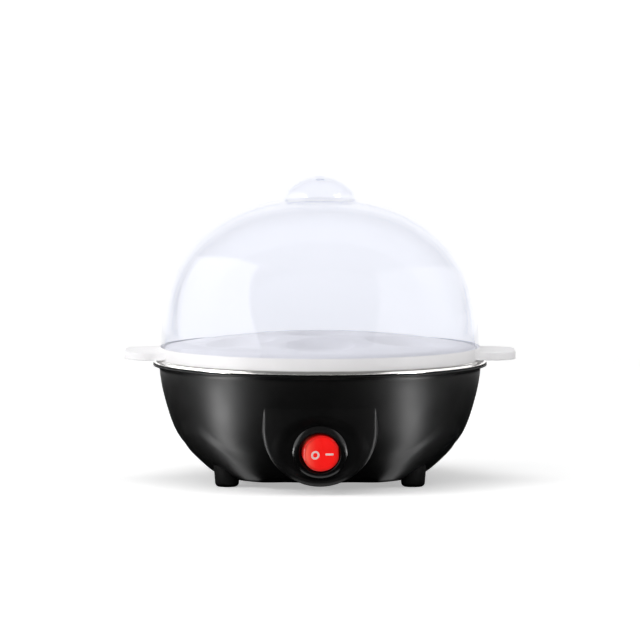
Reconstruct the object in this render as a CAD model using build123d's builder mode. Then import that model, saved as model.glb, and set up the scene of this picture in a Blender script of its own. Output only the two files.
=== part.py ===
from build123d import *
from math import acos, atan2, cos, degrees, hypot, radians, sin, sqrt
import os

# Seven-egg cooker: a moulded bowl on three feet holds a steel pan over its
# heater, an egg tray stands on the pan's rim and a clear dome stands on the
# tray. Sizes are in millimetres. The origin is on the table under the
# cooker's axis, +Z is up, and the switch faces -Y.

# Housing: its wall swells out of a flat bottom and ends in a thin lip. The
# wall's radius at its top leads, and the other radii step in or out from it.
wall_top_r = 75.0
wall_top_z = 52.8
flank_step = 3.6
flank_z = 35.2
belly_step = 5.8
belly_z = 21.4
heel_step = 8.6
heel_z = 12.2
bottom_step = 13.0
floor_z = 3.6
wall_t = 2.2
lip_step = 3.0
lip_rise = 3.0
lip_t = 0.9
rib_w = 1.8
rib_gap = 0.3

# Foot fairings: shallow swellings of the bowl round the three feet
foot_step = 7.1
foot_count = 3
first_foot_angle = -30.0
fairing_t = 0.8
fairing_foot_r = 26.0
fairing_head_r = 18.5
fairing_head_z = 32.0

# Feet: tapered round rubber feet with a plug that fills the screw recess
foot_r = 6.3
foot_tip_r = 5.4
foot_round = 2.0
foot_plug_r = 4.3
foot_plug_root = 1.0
foot_plug_gap = 0.2

# Screw columns inside the bowl, one over each foot
column_r = 4.3
column_base_r = 6.4
column_base_h = 10.0
recess_r = foot_plug_r + foot_plug_gap
recess_top_z = 11.0
screw_r = 1.7
screw_hole_gap = 0.25
screw_head_r = 3.3
screw_head_h = 2.2
screw_slot_w = 0.9
screw_slot_depth = 1.0
screw_bite = 4.5

# Vents in the bottom
vent_count = 10
vent_ring_r = 20.0
vent_l = 11.0
vent_w = 2.2

# Switch pad: a U-shaped swelling that carries the wall's slope down in front
pad_r = 26.6
pad_z = 30.7
pad_head_step = 1.7
pad_head_z = 44.0
pad_foot_step = 5.3
pad_round = 1.2

# Switch seat: a shallow oval dish in the pad
seat_z = 20.0
seat_depth = 2.1
seat_half_w = 17.6
seat_half_h = 13.3
seat_draft = 35.0
seat_skin = 2.4

# Cord entry: a flat round pad at the back, beside the rear foot
entry_x = 24.0
entry_z = 25.0
entry_pad_r = 9.0
entry_step = 7.0
entry_pad_l = 20.0
entry_skin = 2.2
bushing_bore_r = 3.4
bushing_r = 4.8
bushing_gap = 0.1
bushing_head_r = 6.6
bushing_head_t = 1.6
bushing_clip_r = 5.6
bushing_clip_t = 1.8
bushing_l = 11.0

# Heating pan: pressed steel sheet, its rim laid over the housing's lip
pan_t = 0.8
pan_rim_rise = 2.2
pan_rim_inset = 0.9
pan_rim_slope_w = 1.2
pan_side_gap = 4.2
pan_floor_step = 4.8
pan_depth = 20.3
pan_corner_r = 8.0
well_r = 32.0
well_depth = 1.5
well_slope_w = 3.0

# Heater: an aluminium plate with a tubular element brazed in its groove
plate_r = 31.0
plate_t = 4.0
tube_r = 3.2
tube_ring_r = 24.0
tube_gap_angle = 50.0
tube_bend = 4.0
tube_groove_gap = 0.05
tube_leg_l = 9.0

# Threaded bushes welded under the pan, over the screw columns
bush_r = 4.0
bush_gap = 0.3
bush_h = 6.8
thread_gap = 0.05

# Thermostat under the middle of the plate and the strap that holds it
thermostat_r = 8.0
thermostat_h = 9.0
strap_t = 0.8
strap_w = 7.0
strap_foot_l = 7.0
strap_gap = 0.2
heater_screw_r = 1.5
heater_screw_head_r = 2.6
heater_screw_head_h = 1.8
heater_screw_bite = 3.0

# Thermal fuse in its clip, in front of the thermostat
fuse_r = 2.0
fuse_l = 11.0
fuse_y = 13.0
fuse_gap = 0.1
clip_t = 0.6
clip_w = 5.0

# Earth stud under the pan, with its tag and nut
stud_x = -38.0
stud_y = 20.0
stud_r = 2.0
stud_l = 7.5
nut_w = 7.0
nut_h = 3.2
tag_r = 4.2
tag_t = 0.8
tag_gap = 0.15
tag_tongue_l = 9.0
tag_tongue_w = 4.0

# Spade tabs and the sleeves that push over them
tab_w = 4.8
tab_t = 0.8
tab_l = 7.0
tab_thermostat_y = 5.6
sleeve_wall = 0.6
sleeve_gap = 0.1
sleeve_back = 1.0
sleeve_root_gap = 0.4

# Terminal block on the bottom of the bowl
block_w = 37.0
block_d = 13.0
block_h = 9.5
block_step = 13.0
block_pitch = 9.0
block_bore_r = 1.9
block_bore_h = 5.0
block_screw_r = 1.4
block_screw_gap = 0.05
block_screw_sink = 0.4
post_r = 2.9
post_h = 2.0
post_gap = 0.15

# Round rocker switch
switch_r = 9.95
switch_hole_gap = 0.15
switch_wall = 0.75
switch_depth = 14.0
switch_floor_t = 1.4
bezel_r = 12.6
bezel_h = 2.2
bezel_round = 0.9
bezel_mouth_r = 9.1
bezel_bevel = 1.3
catch_w = 5.0
catch_h = 3.5
catch_reach = 0.7

# Rocker: a red cap that tips about an upright pin, drawn level and then tipped
rocker_plan_r = 8.45
rocker_side_r = 8.9
rocker_edge_h = 4.6
rocker_valley_h = 3.3
rocker_under_h = 2.6
rocker_wall = 1.2
pivot_depth = 1.0
pivot_r = 1.3
pivot_gap = 0.05
pivot_end_gap = 0.15
rocker_tilt = 10.0
stem_r = 2.2
plunger_r = 1.1
plunger_tip_h = 6.0
plunger_l = 3.6
plunger_gap = 0.08
spring_r = 0.75
spring_wire_r = 0.2
spring_turns = 4

# Contacts: a rocking blade on the middle tab, and the lamp beside it
blade_l = 11.0
blade_w = 3.0
blade_t = 0.8
blade_tilt = 7.0
blade_gap = 0.1
fulcrum_r = 0.3
fulcrum_gap = 0.05
contact_x = 4.6
contact_r = 1.0
rivet_h = 0.4
rivet_gap = 0.05
stop_w = 1.6
stop_gap = 0.15
lamp_tab_x = 6.8
lamp_tab_rise = 2.0
lamp_y = 4.2
lamp_r = 1.4
lamp_l = 6.0
lamp_lead_r = 0.25

# Egg tray: a crowned plate with seven dished seats in a moulded ring
ring_step = 0.9
ring_t = 2.0
ring_h = 4.9
groove_lip_w = 0.5
groove_lip_h = 0.6
plate_edge_h = 0.5
crown_h = 6.5
tray_t = 2.0
skirt_gap = 3.2
skirt_t = 1.6
skirt_h = 3.5
egg_ring_step = 21.6
seat_count = 6
egg_seat_r = 16.5
egg_seat_depth = 4.2
egg_seat_t = 1.5
steam_hole_r = 7.0

# Ear handles of the tray
ear_reach = 16.3
ear_w = 41.0
ear_h = 3.7
ear_gap = 0.3
ear_corner_r = 12.0
ear_skin = 1.8
ear_wall = 1.8
ear_round = 0.6

# Dome lid and its knob, moulded in one clear piece
lid_gap = 0.4
lid_inner_gap = 0.9
lid_t = 1.7
lid_side_h = 3.1
lid_dome_h = 67.4
lid_fullness = 2.3
lid_line_steps = 8
knob_foot_r = 18.2
knob_side_r = 17.4
knob_side_h = 1.4
knob_shoulder_r = 14.2
knob_shoulder_h = 5.6
knob_crown_r = 9.3
knob_crown_h = 8.6
knob_bulge_r = 3.8
knob_bulge_h = 10.0
dimple_h = 9.2
vent_hole_r = 1.5

# Wires, and the two heights at which they cross the bottom of the bowl
wire_r = 1.2
wire_bend = 5.5
low_wire_z = 8.2
high_wire_z = 12.2
bend_margin = 0.2
fuse_wire_reach = 7.0
neutral_wire_reach = 19.5

# Radii that follow the wall's top radius, from the outside in
flank_r = wall_top_r - flank_step
belly_r = flank_r - belly_step
heel_r = belly_r - heel_step
bottom_r = heel_r - bottom_step
foot_ring_r = heel_r - foot_step
block_y = bottom_r - block_step
lip_r = wall_top_r + lip_step
pad_head_r = wall_top_r - pad_head_step
pad_foot_r = pad_head_r - pad_foot_step
entry_face_y = wall_top_r - entry_step
pan_rim_r = lip_r - pan_rim_inset
pan_rim_flat_r = pan_rim_r - pan_rim_slope_w
pan_mouth_r = wall_top_r - pan_side_gap
pan_floor_r = pan_mouth_r - pan_floor_step
ring_r = pan_rim_flat_r - ring_step
groove_r = ring_r - groove_lip_w
lid_r = groove_r - lid_gap
plate_edge_r = lid_r - lid_t - lid_inner_gap
skirt_r = pan_mouth_r - skirt_gap
seat_ring_r = skirt_r - egg_ring_step
ear_tip_x = ring_r + ear_reach

# Heights that follow the top of the housing's wall, from the bottom up
lip_z = wall_top_z + lip_rise
pan_rim_z = lip_z + pan_rim_rise
pan_floor_z = pan_rim_z - pan_depth
skirt_z = pan_rim_z - skirt_h
ledge_z = pan_rim_z + ring_h
lid_shoulder_z = ledge_z + lid_side_h
lid_top_z = lid_shoulder_z + lid_dome_h

os.makedirs("parts", exist_ok=True)


def save(piece, label):
    """Name the finished piece and write it."""
    piece.part.label = label
    export_step(piece.part, f"parts/{label}.step")


# The bowl's outer line, in radius and height

bowl_points = [
    (bottom_r, floor_z),
    (heel_r, heel_z),
    (belly_r, belly_z),
    (flank_r, flank_z),
    (wall_top_r, wall_top_z),
]
bowl_tangents = [(1, 0.2), (0.08, 1)]
bowl_line = Spline(*bowl_points, tangents=bowl_tangents)


def inset_points(line, depth, count=9):
    """Points that lie depth to the left of a line, measured square to it."""
    points = []
    for step in range(count):
        at = line @ (step / (count - 1))
        along = line % (step / (count - 1))
        points.append((at.X - depth * along.Y, at.Y + depth * along.X))
    return points


def filled_bowl(depth, top_z):
    """A filled bowl whose side lies depth inside the housing's outer line."""
    points = inset_points(bowl_line, depth)
    with BuildPart() as bowl:
        with BuildSketch(Plane.XZ):
            with BuildLine():
                Spline(*points, tangents=bowl_tangents)
                Polyline(points[-1], (points[-1][0], top_z), (0, top_z), (0, points[0][1]), points[0])
            make_face()
        revolve(axis=Axis.Z)
    return bowl.part


foot_places = PolarLocations(foot_ring_r, foot_count, start_angle=first_foot_angle)
inner_floor_z = floor_z + wall_t

# The switch stands square to the pad's sloping face
pad_lean = degrees(atan2(pad_head_r - pad_foot_r, pad_head_z - floor_z))
pad_slope = (pad_head_r - pad_foot_r) / (pad_head_z - floor_z)
seat_face_r = pad_foot_r + pad_slope * (seat_z - floor_z)
switch_plane = Plane(
    origin=(0, -(seat_face_r - seat_depth), seat_z),
    x_dir=(1, 0, 0),
    z_dir=(0, -cos(radians(pad_lean)), -sin(radians(pad_lean))),
)
switch_axis = Axis(switch_plane.origin, switch_plane.z_dir)
# A section through the switch: x runs to the right and y runs outwards
switch_section = Plane(origin=switch_plane.origin, x_dir=switch_plane.x_dir, z_dir=-switch_plane.y_dir)


def switch_pad(inset, rounding):
    """The U-shaped pad, drawn in by inset on every side."""
    side_r = pad_r - inset
    with BuildPart() as pad:
        with BuildSketch(Plane.XZ):
            with BuildLine():
                Polyline(
                    (0, floor_z + inset),
                    (pad_foot_r - inset, floor_z + inset),
                    (pad_head_r - inset, pad_head_z),
                    (0, pad_head_z),
                    close=True,
                )
            make_face()
        revolve(axis=Axis.Z)
        with BuildSketch(Plane.XZ):
            with Locations((0, pad_z)):
                Circle(side_r)
                Rectangle(2 * side_r, pad_head_z - pad_z, align=(Align.CENTER, Align.MIN))
        extrude(amount=2 * pad_foot_r, mode=Mode.INTERSECT)
        if rounding > 0:
            front = pad.faces().sort_by(Axis.Y)[0]
            rims = [edge for edge in front.edges() if edge.center().Z < pad_head_z - rounding]
            fillet(rims, radius=rounding)
    return pad.part


# The housing's outer skin as one filled block, with its fairings and pads

with BuildPart() as fairings:
    with Locations(Plane.XY.offset(floor_z)):
        with foot_places:
            Cone(
                fairing_foot_r,
                fairing_head_r,
                fairing_head_z - floor_z,
                align=(Align.CENTER, Align.CENTER, Align.MIN),
            )
    add(filled_bowl(-fairing_t, wall_top_z), mode=Mode.INTERSECT)
    with BuildSketch(Plane.XY.offset(floor_z)):
        Circle(lip_r)
    extrude(amount=wall_top_z, mode=Mode.INTERSECT)

with BuildPart() as outside:
    with BuildSketch(Plane.XZ):
        with BuildLine():
            Spline(*bowl_points, tangents=bowl_tangents)
            TangentArc((wall_top_r, wall_top_z), (lip_r, lip_z - lip_t), tangent=bowl_tangents[1])
            Polyline(
                (lip_r, lip_z - lip_t),
                (lip_r, lip_z),
                (0, lip_z),
                (0, floor_z),
                (bottom_r, floor_z),
            )
        make_face()
    revolve(axis=Axis.Z)
    add(fairings.part)
    add(switch_pad(0, pad_round))
    with BuildSketch(Plane.XZ.offset(-entry_face_y)):
        with Locations((entry_x, entry_z)):
            Circle(entry_pad_r)
    extrude(amount=entry_pad_l)

# Places under the pan that the columns, bushes and heater share
column_top_z = pan_floor_z - bush_h - bush_gap
plate_top_z = pan_floor_z - well_depth
plate_foot_z = plate_top_z - plate_t

with BuildPart() as columns:
    with BuildSketch(Plane.XY.offset(floor_z)):
        with foot_places:
            Circle(column_base_r)
    extrude(amount=column_base_h)
    with BuildSketch(Plane.XY.offset(floor_z)):
        with foot_places:
            Circle(column_r)
    extrude(amount=column_top_z - floor_z)
    add(outside.part, mode=Mode.INTERSECT)

with BuildPart() as seat_backing:
    with BuildSketch(switch_plane):
        Ellipse(seat_half_w, seat_half_h + seat_skin / 2)
    extrude(amount=-seat_skin)
    add(outside.part, mode=Mode.INTERSECT)

seat_flare = (seat_depth + pad_round) * sin(radians(seat_draft))

with BuildPart() as housing:
    add(outside.part)
    add(filled_bowl(wall_t, lip_z), mode=Mode.SUBTRACT)
    add(switch_pad(wall_t, 0), mode=Mode.SUBTRACT)
    with BuildSketch(Plane.XZ.offset(-(entry_face_y - entry_skin))):
        with Locations((entry_x, entry_z)):
            Circle(entry_pad_r - wall_t)
    extrude(amount=entry_pad_l, mode=Mode.SUBTRACT)
    add(columns.part)
    add(seat_backing.part)
    # Locating rib that stands in the pan's hollow rim
    with BuildSketch(Plane.XZ):
        with Locations((pan_rim_flat_r - rib_gap, lip_z - lip_t)):
            Rectangle(
                rib_w,
                pan_rim_z - pan_t - rib_gap - lip_z + lip_t,
                align=(Align.MAX, Align.MIN),
            )
    revolve(axis=Axis.Z)
    # Post for the terminal block's screw
    with BuildSketch(Plane.XY.offset(floor_z)):
        with Locations((0, block_y)):
            Circle(post_r)
    extrude(amount=wall_t + post_h)
    # Oval dish round the switch, and the switch's hole
    with BuildSketch(switch_plane):
        Ellipse(seat_half_w, seat_half_h)
    with BuildSketch(switch_plane.offset(seat_depth + pad_round)):
        Ellipse(seat_half_w + seat_flare, seat_half_h + seat_flare)
    loft(mode=Mode.SUBTRACT)
    with BuildSketch(switch_plane.offset(seat_depth)):
        Circle(switch_r + switch_hole_gap)
    extrude(amount=-(seat_depth + 2 * seat_skin), mode=Mode.SUBTRACT)
    # Hole for the cord's bushing
    with BuildSketch(Plane.XZ.offset(-(entry_face_y + bushing_head_t))):
        with Locations((entry_x, entry_z)):
            Circle(bushing_r + bushing_gap)
    extrude(amount=2 * entry_skin + bushing_head_t, mode=Mode.SUBTRACT)
    # Screw holes and the recesses below them
    with BuildSketch(Plane.XY):
        with foot_places:
            Circle(recess_r)
    extrude(amount=recess_top_z, mode=Mode.SUBTRACT)
    with BuildSketch(Plane.XY):
        with foot_places:
            Circle(screw_r + screw_hole_gap)
    extrude(amount=lip_z, mode=Mode.SUBTRACT)
    with BuildSketch(Plane.XY.offset(inner_floor_z)):
        with Locations((0, block_y)):
            Circle(block_screw_r + block_screw_gap)
    extrude(amount=post_h, mode=Mode.SUBTRACT)
    # Ring of vents
    with BuildSketch(Plane.XY):
        with PolarLocations(vent_ring_r, vent_count):
            SlotOverall(vent_l, vent_w)
    extrude(amount=floor_z + wall_t, mode=Mode.SUBTRACT)
save(housing, "housing")


# Feet and the screws that the feet cover

foot_names = ["foot_right", "foot_rear", "foot_left"]
for name, place in zip(foot_names, foot_places.local_locations):
    with BuildPart() as foot:
        with BuildSketch(Plane.XZ):
            with BuildLine():
                Polyline((foot_tip_r, 0), (foot_r, recess_top_z), (0, recess_top_z), (0, 0), close=True)
            make_face()
        revolve(axis=Axis.Z)
        fillet(foot.edges().group_by(Axis.Z)[0], radius=foot_round)
    with BuildPart() as placed_foot:
        add(place * foot.part)
        add(outside.part, mode=Mode.SUBTRACT)
        with BuildSketch(Plane.XY.offset(floor_z - foot_plug_root)):
            with Locations((place.position.X, place.position.Y)):
                Circle(foot_plug_r)
        extrude(amount=recess_top_z - screw_head_h - foot_plug_gap - floor_z + foot_plug_root)
    save(placed_foot, name)

with BuildPart() as base_screws:
    with BuildSketch(Plane.XY.offset(recess_top_z - screw_head_h)):
        with foot_places:
            Circle(screw_head_r)
    extrude(amount=screw_head_h)
    with BuildSketch(Plane.XY.offset(recess_top_z)):
        with foot_places:
            Circle(screw_r)
    extrude(amount=pan_floor_z - bush_h + screw_bite - recess_top_z)
    with BuildSketch(Plane.XY.offset(recess_top_z - screw_head_h)):
        with foot_places:
            Rectangle(screw_slot_w, 2 * screw_head_r)
            Rectangle(2 * screw_head_r, screw_slot_w)
    extrude(amount=screw_slot_depth, mode=Mode.SUBTRACT)
save(base_screws, "base_screws")


# Bushing that lines the cord's hole

with BuildPart() as cord_bushing:
    with BuildSketch(Plane.XZ.offset(-(entry_face_y + bushing_head_t))):
        with Locations((entry_x, entry_z)):
            Circle(bushing_head_r)
    extrude(amount=bushing_head_t)
    fillet(cord_bushing.edges().group_by(Axis.Y)[-1], radius=bushing_head_t / 2)
    with BuildSketch(Plane.XZ.offset(-entry_face_y)):
        with Locations((entry_x, entry_z)):
            Circle(bushing_r)
    extrude(amount=bushing_l)
    with BuildSketch(Plane.XZ.offset(-(entry_face_y - entry_skin - bushing_gap))):
        with Locations((entry_x, entry_z)):
            Circle(bushing_clip_r)
    extrude(amount=bushing_clip_t)
    with BuildSketch(Plane.XZ.offset(-(entry_face_y + bushing_head_t))):
        with Locations((entry_x, entry_z)):
            Circle(bushing_bore_r)
    extrude(amount=bushing_l + bushing_head_t, mode=Mode.SUBTRACT)
save(cord_bushing, "cord_bushing")


# Heating pan, pressed from one sheet

with BuildPart() as heating_pan:
    with BuildSketch(Plane.XZ):
        with BuildLine():
            FilletPolyline(
                (0, plate_top_z),
                (well_r, plate_top_z),
                (well_r + well_slope_w, pan_floor_z),
                (pan_floor_r, pan_floor_z),
                (pan_mouth_r, pan_rim_z - pan_t),
                (pan_rim_flat_r, pan_rim_z - pan_t),
                (pan_rim_r, lip_z),
                radius=[well_depth, well_depth, pan_corner_r, pan_t, pan_t],
            )
            offset(amount=pan_t, side=Side.LEFT)
        make_face()
    revolve(axis=Axis.Z)
save(heating_pan, "heating_pan")

with BuildPart() as pan_bushes:
    with BuildSketch(Plane.XY.offset(pan_floor_z - bush_h)):
        with foot_places:
            Circle(bush_r)
            Circle(screw_r + thread_gap, mode=Mode.SUBTRACT)
    extrude(amount=bush_h)
save(pan_bushes, "pan_bushes")

# Heater plate with a groove for the tube, brazed under the pan's well

tab_foot_z = plate_foot_z - tube_leg_l
thermostat_foot_z = plate_foot_z - thermostat_h


def heating_tube(radius):
    """An open ring of tube under the plate, with both ends bent down."""
    with BuildPart() as tube:
        with BuildSketch(Plane.XZ):
            with Locations((tube_ring_r, plate_foot_z)):
                Circle(radius)
        revolve(axis=Axis.Z, revolution_arc=360 - tube_gap_angle)
    with BuildPart() as leg:
        with BuildSketch(Plane.XZ):
            with Locations((tube_ring_r, plate_foot_z)):
                Circle(radius)
        revolve(axis=Axis((tube_ring_r, 0, plate_foot_z - tube_bend), (1, 0, 0)), revolution_arc=90)
        with BuildSketch(Plane.XY.offset(tab_foot_z)):
            with Locations((tube_ring_r, -tube_bend)):
                Circle(radius)
        extrude(amount=tube_leg_l - tube_bend)
    with BuildPart() as whole:
        add(Rot(0, 0, tube_gap_angle / 2) * tube.part)
        add(Rot(0, 0, tube_gap_angle / 2) * leg.part)
        add(Rot(0, 0, -tube_gap_angle / 2) * mirror(leg.part, Plane.XZ))
    return whole.part


strap_foot_x = thermostat_r + strap_gap + strap_t
strap_screw_x = strap_foot_x + strap_foot_l / 2
clip_reach_y = fuse_r + fuse_gap + clip_t
heater_screw_places = [(-strap_screw_x, 0), (strap_screw_x, 0)]

with BuildPart() as heater_plate:
    with BuildSketch(Plane.XY.offset(plate_foot_z)):
        Circle(plate_r)
        with Locations(*heater_screw_places):
            Circle(heater_screw_r + thread_gap, mode=Mode.SUBTRACT)
    extrude(amount=plate_t)
    add(heating_tube(tube_r + tube_groove_gap), mode=Mode.SUBTRACT)
save(heater_plate, "heater_plate")

with BuildPart() as heating_element:
    add(heating_tube(tube_r))
save(heating_element, "heating_element")

leg_turn = Rot(0, 0, tube_gap_angle / 2)
leg_x = (leg_turn * Pos(tube_ring_r, -tube_bend, 0)).position.X
leg_y = (leg_turn * Pos(tube_ring_r, -tube_bend, 0)).position.Y

with BuildPart() as element_tabs:
    with BuildSketch(Plane.XY.offset(tab_foot_z - tab_l)):
        with Locations((leg_x, leg_y), (leg_x, -leg_y)):
            Rectangle(tab_w, tab_t)
    extrude(amount=tab_l)
save(element_tabs, "element_tabs")


# Thermostat, its tabs and its strap

with BuildPart() as thermostat:
    with BuildSketch(Plane.XY.offset(thermostat_foot_z)):
        Circle(thermostat_r)
    extrude(amount=thermostat_h)
    chamfer(thermostat.edges().group_by(Axis.Z)[-1], length=strap_t)
save(thermostat, "thermostat")

with BuildPart() as thermostat_tabs:
    with BuildSketch(Plane.XY.offset(thermostat_foot_z - tab_l)):
        with Locations((0, tab_thermostat_y), (0, -tab_thermostat_y)):
            Rectangle(tab_w, tab_t)
    extrude(amount=tab_l)
save(thermostat_tabs, "thermostat_tabs")

with BuildPart() as thermostat_strap:
    with BuildSketch(Plane.XZ.offset(-strap_w / 2)):
        with Locations((0, thermostat_foot_z - strap_t)):
            Rectangle(2 * strap_foot_x, thermostat_h + strap_t, align=(Align.CENTER, Align.MIN))
        with Locations((0, thermostat_foot_z)):
            Rectangle(
                2 * (strap_foot_x - strap_t),
                thermostat_h,
                align=(Align.CENTER, Align.MIN),
                mode=Mode.SUBTRACT,
            )
        with Locations((-strap_foot_x, plate_foot_z)):
            Rectangle(strap_foot_l, strap_t, align=(Align.MAX, Align.MAX))
        with Locations((strap_foot_x, plate_foot_z)):
            Rectangle(strap_foot_l, strap_t, align=(Align.MIN, Align.MAX))
    extrude(amount=strap_w)
    fillet(
        thermostat_strap.edges().filter_by(Axis.Y).group_by(Axis.Z)[0],
        radius=strap_t,
    )
    with BuildSketch(Plane.XY.offset(thermostat_foot_z)):
        with Locations(*heater_screw_places):
            Circle(heater_screw_r + thread_gap)
    extrude(amount=thermostat_h, mode=Mode.SUBTRACT)
save(thermostat_strap, "thermostat_strap")

with BuildPart() as strap_screws:
    with BuildSketch(Plane.XY.offset(plate_foot_z - strap_t - heater_screw_head_h)):
        with Locations(*heater_screw_places):
            Circle(heater_screw_head_r)
    extrude(amount=heater_screw_head_h)
    with BuildSketch(Plane.XY.offset(plate_foot_z - strap_t)):
        with Locations(*heater_screw_places):
            Circle(heater_screw_r)
    extrude(amount=heater_screw_bite + strap_t)
save(strap_screws, "strap_screws")


# Thermal fuse lying under the plate in a folded clip

fuse_z = plate_foot_z - clip_t - fuse_gap - fuse_r

with BuildPart() as fuse_clip:
    with BuildSketch(Plane.YZ.offset(-clip_w / 2)):
        with Locations((-fuse_y, fuse_z)):
            Circle(fuse_r + fuse_gap + clip_t)
            Circle(fuse_r + fuse_gap, mode=Mode.SUBTRACT)
        with Locations((-fuse_y, plate_foot_z - clip_t)):
            Rectangle(2 * clip_reach_y, clip_t, align=(Align.CENTER, Align.MIN))
    extrude(amount=clip_w)
save(fuse_clip, "fuse_clip")

with BuildPart() as thermal_fuse:
    with BuildSketch(Plane.YZ.offset(-fuse_l / 2)):
        with Locations((-fuse_y, fuse_z)):
            Circle(fuse_r)
    extrude(amount=fuse_l)
    chamfer(thermal_fuse.edges(), length=fuse_r / 4)
save(thermal_fuse, "thermal_fuse")


# Earth stud welded under the pan, its tag and its nut

tag_z = pan_floor_z - tag_t

with BuildPart() as earth_stud:
    with BuildSketch(Plane.XY.offset(pan_floor_z - stud_l)):
        with Locations((stud_x, stud_y)):
            Circle(stud_r)
    extrude(amount=stud_l)
save(earth_stud, "earth_stud")

with BuildPart() as earth_nut:
    with BuildSketch(Plane.XY.offset(tag_z - nut_h)):
        with Locations((stud_x, stud_y)):
            RegularPolygon(nut_w / 2, 6, major_radius=False)
            Circle(stud_r + thread_gap, mode=Mode.SUBTRACT)
    extrude(amount=nut_h)
save(earth_nut, "earth_nut")

with BuildPart() as earth_tag:
    with BuildSketch(Plane.XY.offset(tag_z)):
        with Locations((stud_x, stud_y)):
            Circle(tag_r)
            Rectangle(tag_tongue_w, tag_tongue_l, align=(Align.CENTER, Align.MAX))
            Circle(stud_r + tag_gap, mode=Mode.SUBTRACT)
    extrude(amount=tag_t)
save(earth_tag, "earth_tag")


# Terminal block, screwed to its post

block_top_z = inner_floor_z + block_h
block_bore_z = inner_floor_z + block_bore_h
ways = [-1.5 * block_pitch, -0.5 * block_pitch, 0.5 * block_pitch, 1.5 * block_pitch]

with BuildPart() as terminal_block:
    with BuildSketch(Plane.XY.offset(inner_floor_z)):
        with Locations((0, block_y)):
            RectangleRounded(block_w, block_d, block_bore_r / 2)
    extrude(amount=block_h)
    with BuildSketch(Plane.XY.offset(inner_floor_z)):
        with Locations((0, block_y)):
            Circle(post_r + post_gap)
    extrude(amount=post_h + post_gap, mode=Mode.SUBTRACT)
    with BuildSketch(Plane.XY.offset(inner_floor_z)):
        with Locations((0, block_y)):
            Circle(block_screw_r + screw_hole_gap)
    extrude(amount=block_h, mode=Mode.SUBTRACT)
    with BuildSketch(Plane.XZ.offset(-(block_y + block_d / 2))):
        with Locations(*[(x, block_bore_z) for x in ways]):
            Circle(block_bore_r)
    extrude(amount=block_d, mode=Mode.SUBTRACT)
    with BuildSketch(Plane.XY.offset(block_bore_z)):
        with Locations(*[(x, block_y) for x in ways]):
            Circle(block_screw_r + block_screw_gap)
    extrude(amount=block_h, mode=Mode.SUBTRACT)
save(terminal_block, "terminal_block")

with BuildPart() as block_screws:
    with BuildSketch(Plane.XY.offset(block_bore_z + wire_r)):
        with Locations(*[(x, block_y) for x in ways]):
            Circle(block_screw_r)
    extrude(amount=block_top_z - block_screw_sink - block_bore_z - wire_r)
    with BuildSketch(Plane.XY.offset(inner_floor_z)):
        with Locations((0, block_y)):
            Circle(block_screw_r)
    extrude(amount=block_h)
    with BuildSketch(Plane.XY.offset(block_top_z)):
        with Locations((0, block_y)):
            Circle(heater_screw_head_r - screw_hole_gap)
    extrude(amount=heater_screw_head_h)
save(block_screws, "block_screws")


# Switch body: a bezel, a barrel behind it and two catches behind the housing's wall

pivot_plane = switch_plane.offset(-pivot_depth)
pivot_section = switch_section.shift_origin(pivot_plane.origin)
switch_floor_w = -switch_depth + switch_floor_t
blade_foot_h = -plunger_tip_h - blade_gap - blade_t
stop_top_h = blade_foot_h - contact_x * sin(radians(blade_tilt)) - stop_gap
catch_x = switch_r + (catch_reach - switch_wall) / 2
rivet_foot_h = blade_foot_h - (contact_x + contact_r) * sin(radians(blade_tilt)) - rivet_h

# The blade rocks on the middle tab's round head, in a groove along its underside
blade_axis_h = blade_foot_h - pivot_depth
blade_axis_plane = switch_plane.offset(blade_axis_h)
blade_section = Plane(
    origin=blade_axis_plane.origin,
    x_dir=switch_plane.x_dir,
    z_dir=switch_plane.y_dir,
)

with BuildPart() as switch_body:
    with BuildSketch(switch_section):
        with BuildLine():
            rim = Polyline(
                (bezel_mouth_r, -switch_floor_t),
                (bezel_mouth_r, bezel_h - bezel_bevel),
                (bezel_mouth_r + bezel_bevel, bezel_h),
                (bezel_r - bezel_round, bezel_h),
            )
            RadiusArc(rim @ 1, (bezel_r, bezel_h - bezel_round), bezel_round)
            Polyline(
                (bezel_r, bezel_h - bezel_round),
                (bezel_r, 0),
                (switch_r, 0),
                (switch_r, -switch_depth),
                (0, -switch_depth),
                (0, switch_floor_w),
                (switch_r - switch_wall, switch_floor_w),
                (switch_r - switch_wall, -switch_floor_t),
                (bezel_mouth_r, -switch_floor_t),
            )
        make_face()
    revolve(axis=switch_axis)
    # Holes for the rocker's pins
    with BuildSketch(Plane(origin=pivot_plane.origin, x_dir=switch_plane.x_dir, z_dir=switch_plane.y_dir)):
        Circle(pivot_r + pivot_gap)
    extrude(amount=switch_r + pivot_gap, both=True, mode=Mode.SUBTRACT)
    # Catches
    with BuildSketch(switch_plane.offset(-seat_skin - catch_reach / 2)):
        with Locations((catch_x, 0), (-catch_x, 0)):
            Rectangle(switch_wall + catch_reach, catch_w)
    extrude(amount=-catch_h)
    # Post on which the blade's idle end comes to rest
    with BuildSketch(switch_plane.offset(switch_floor_w)):
        with Locations((contact_x, 0)):
            Rectangle(stop_w, blade_w)
    extrude(amount=stop_top_h - pivot_depth - switch_floor_w)
    # Slots for the three tabs
    with BuildSketch(switch_plane.offset(-switch_depth)):
        with Locations((-contact_x, 0), (0, 0), (lamp_tab_x, 0)):
            Rectangle(tab_t + 2 * post_gap, tab_w + 2 * post_gap)
    extrude(amount=switch_floor_t, mode=Mode.SUBTRACT)
save(switch_body, "switch_body")

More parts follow.
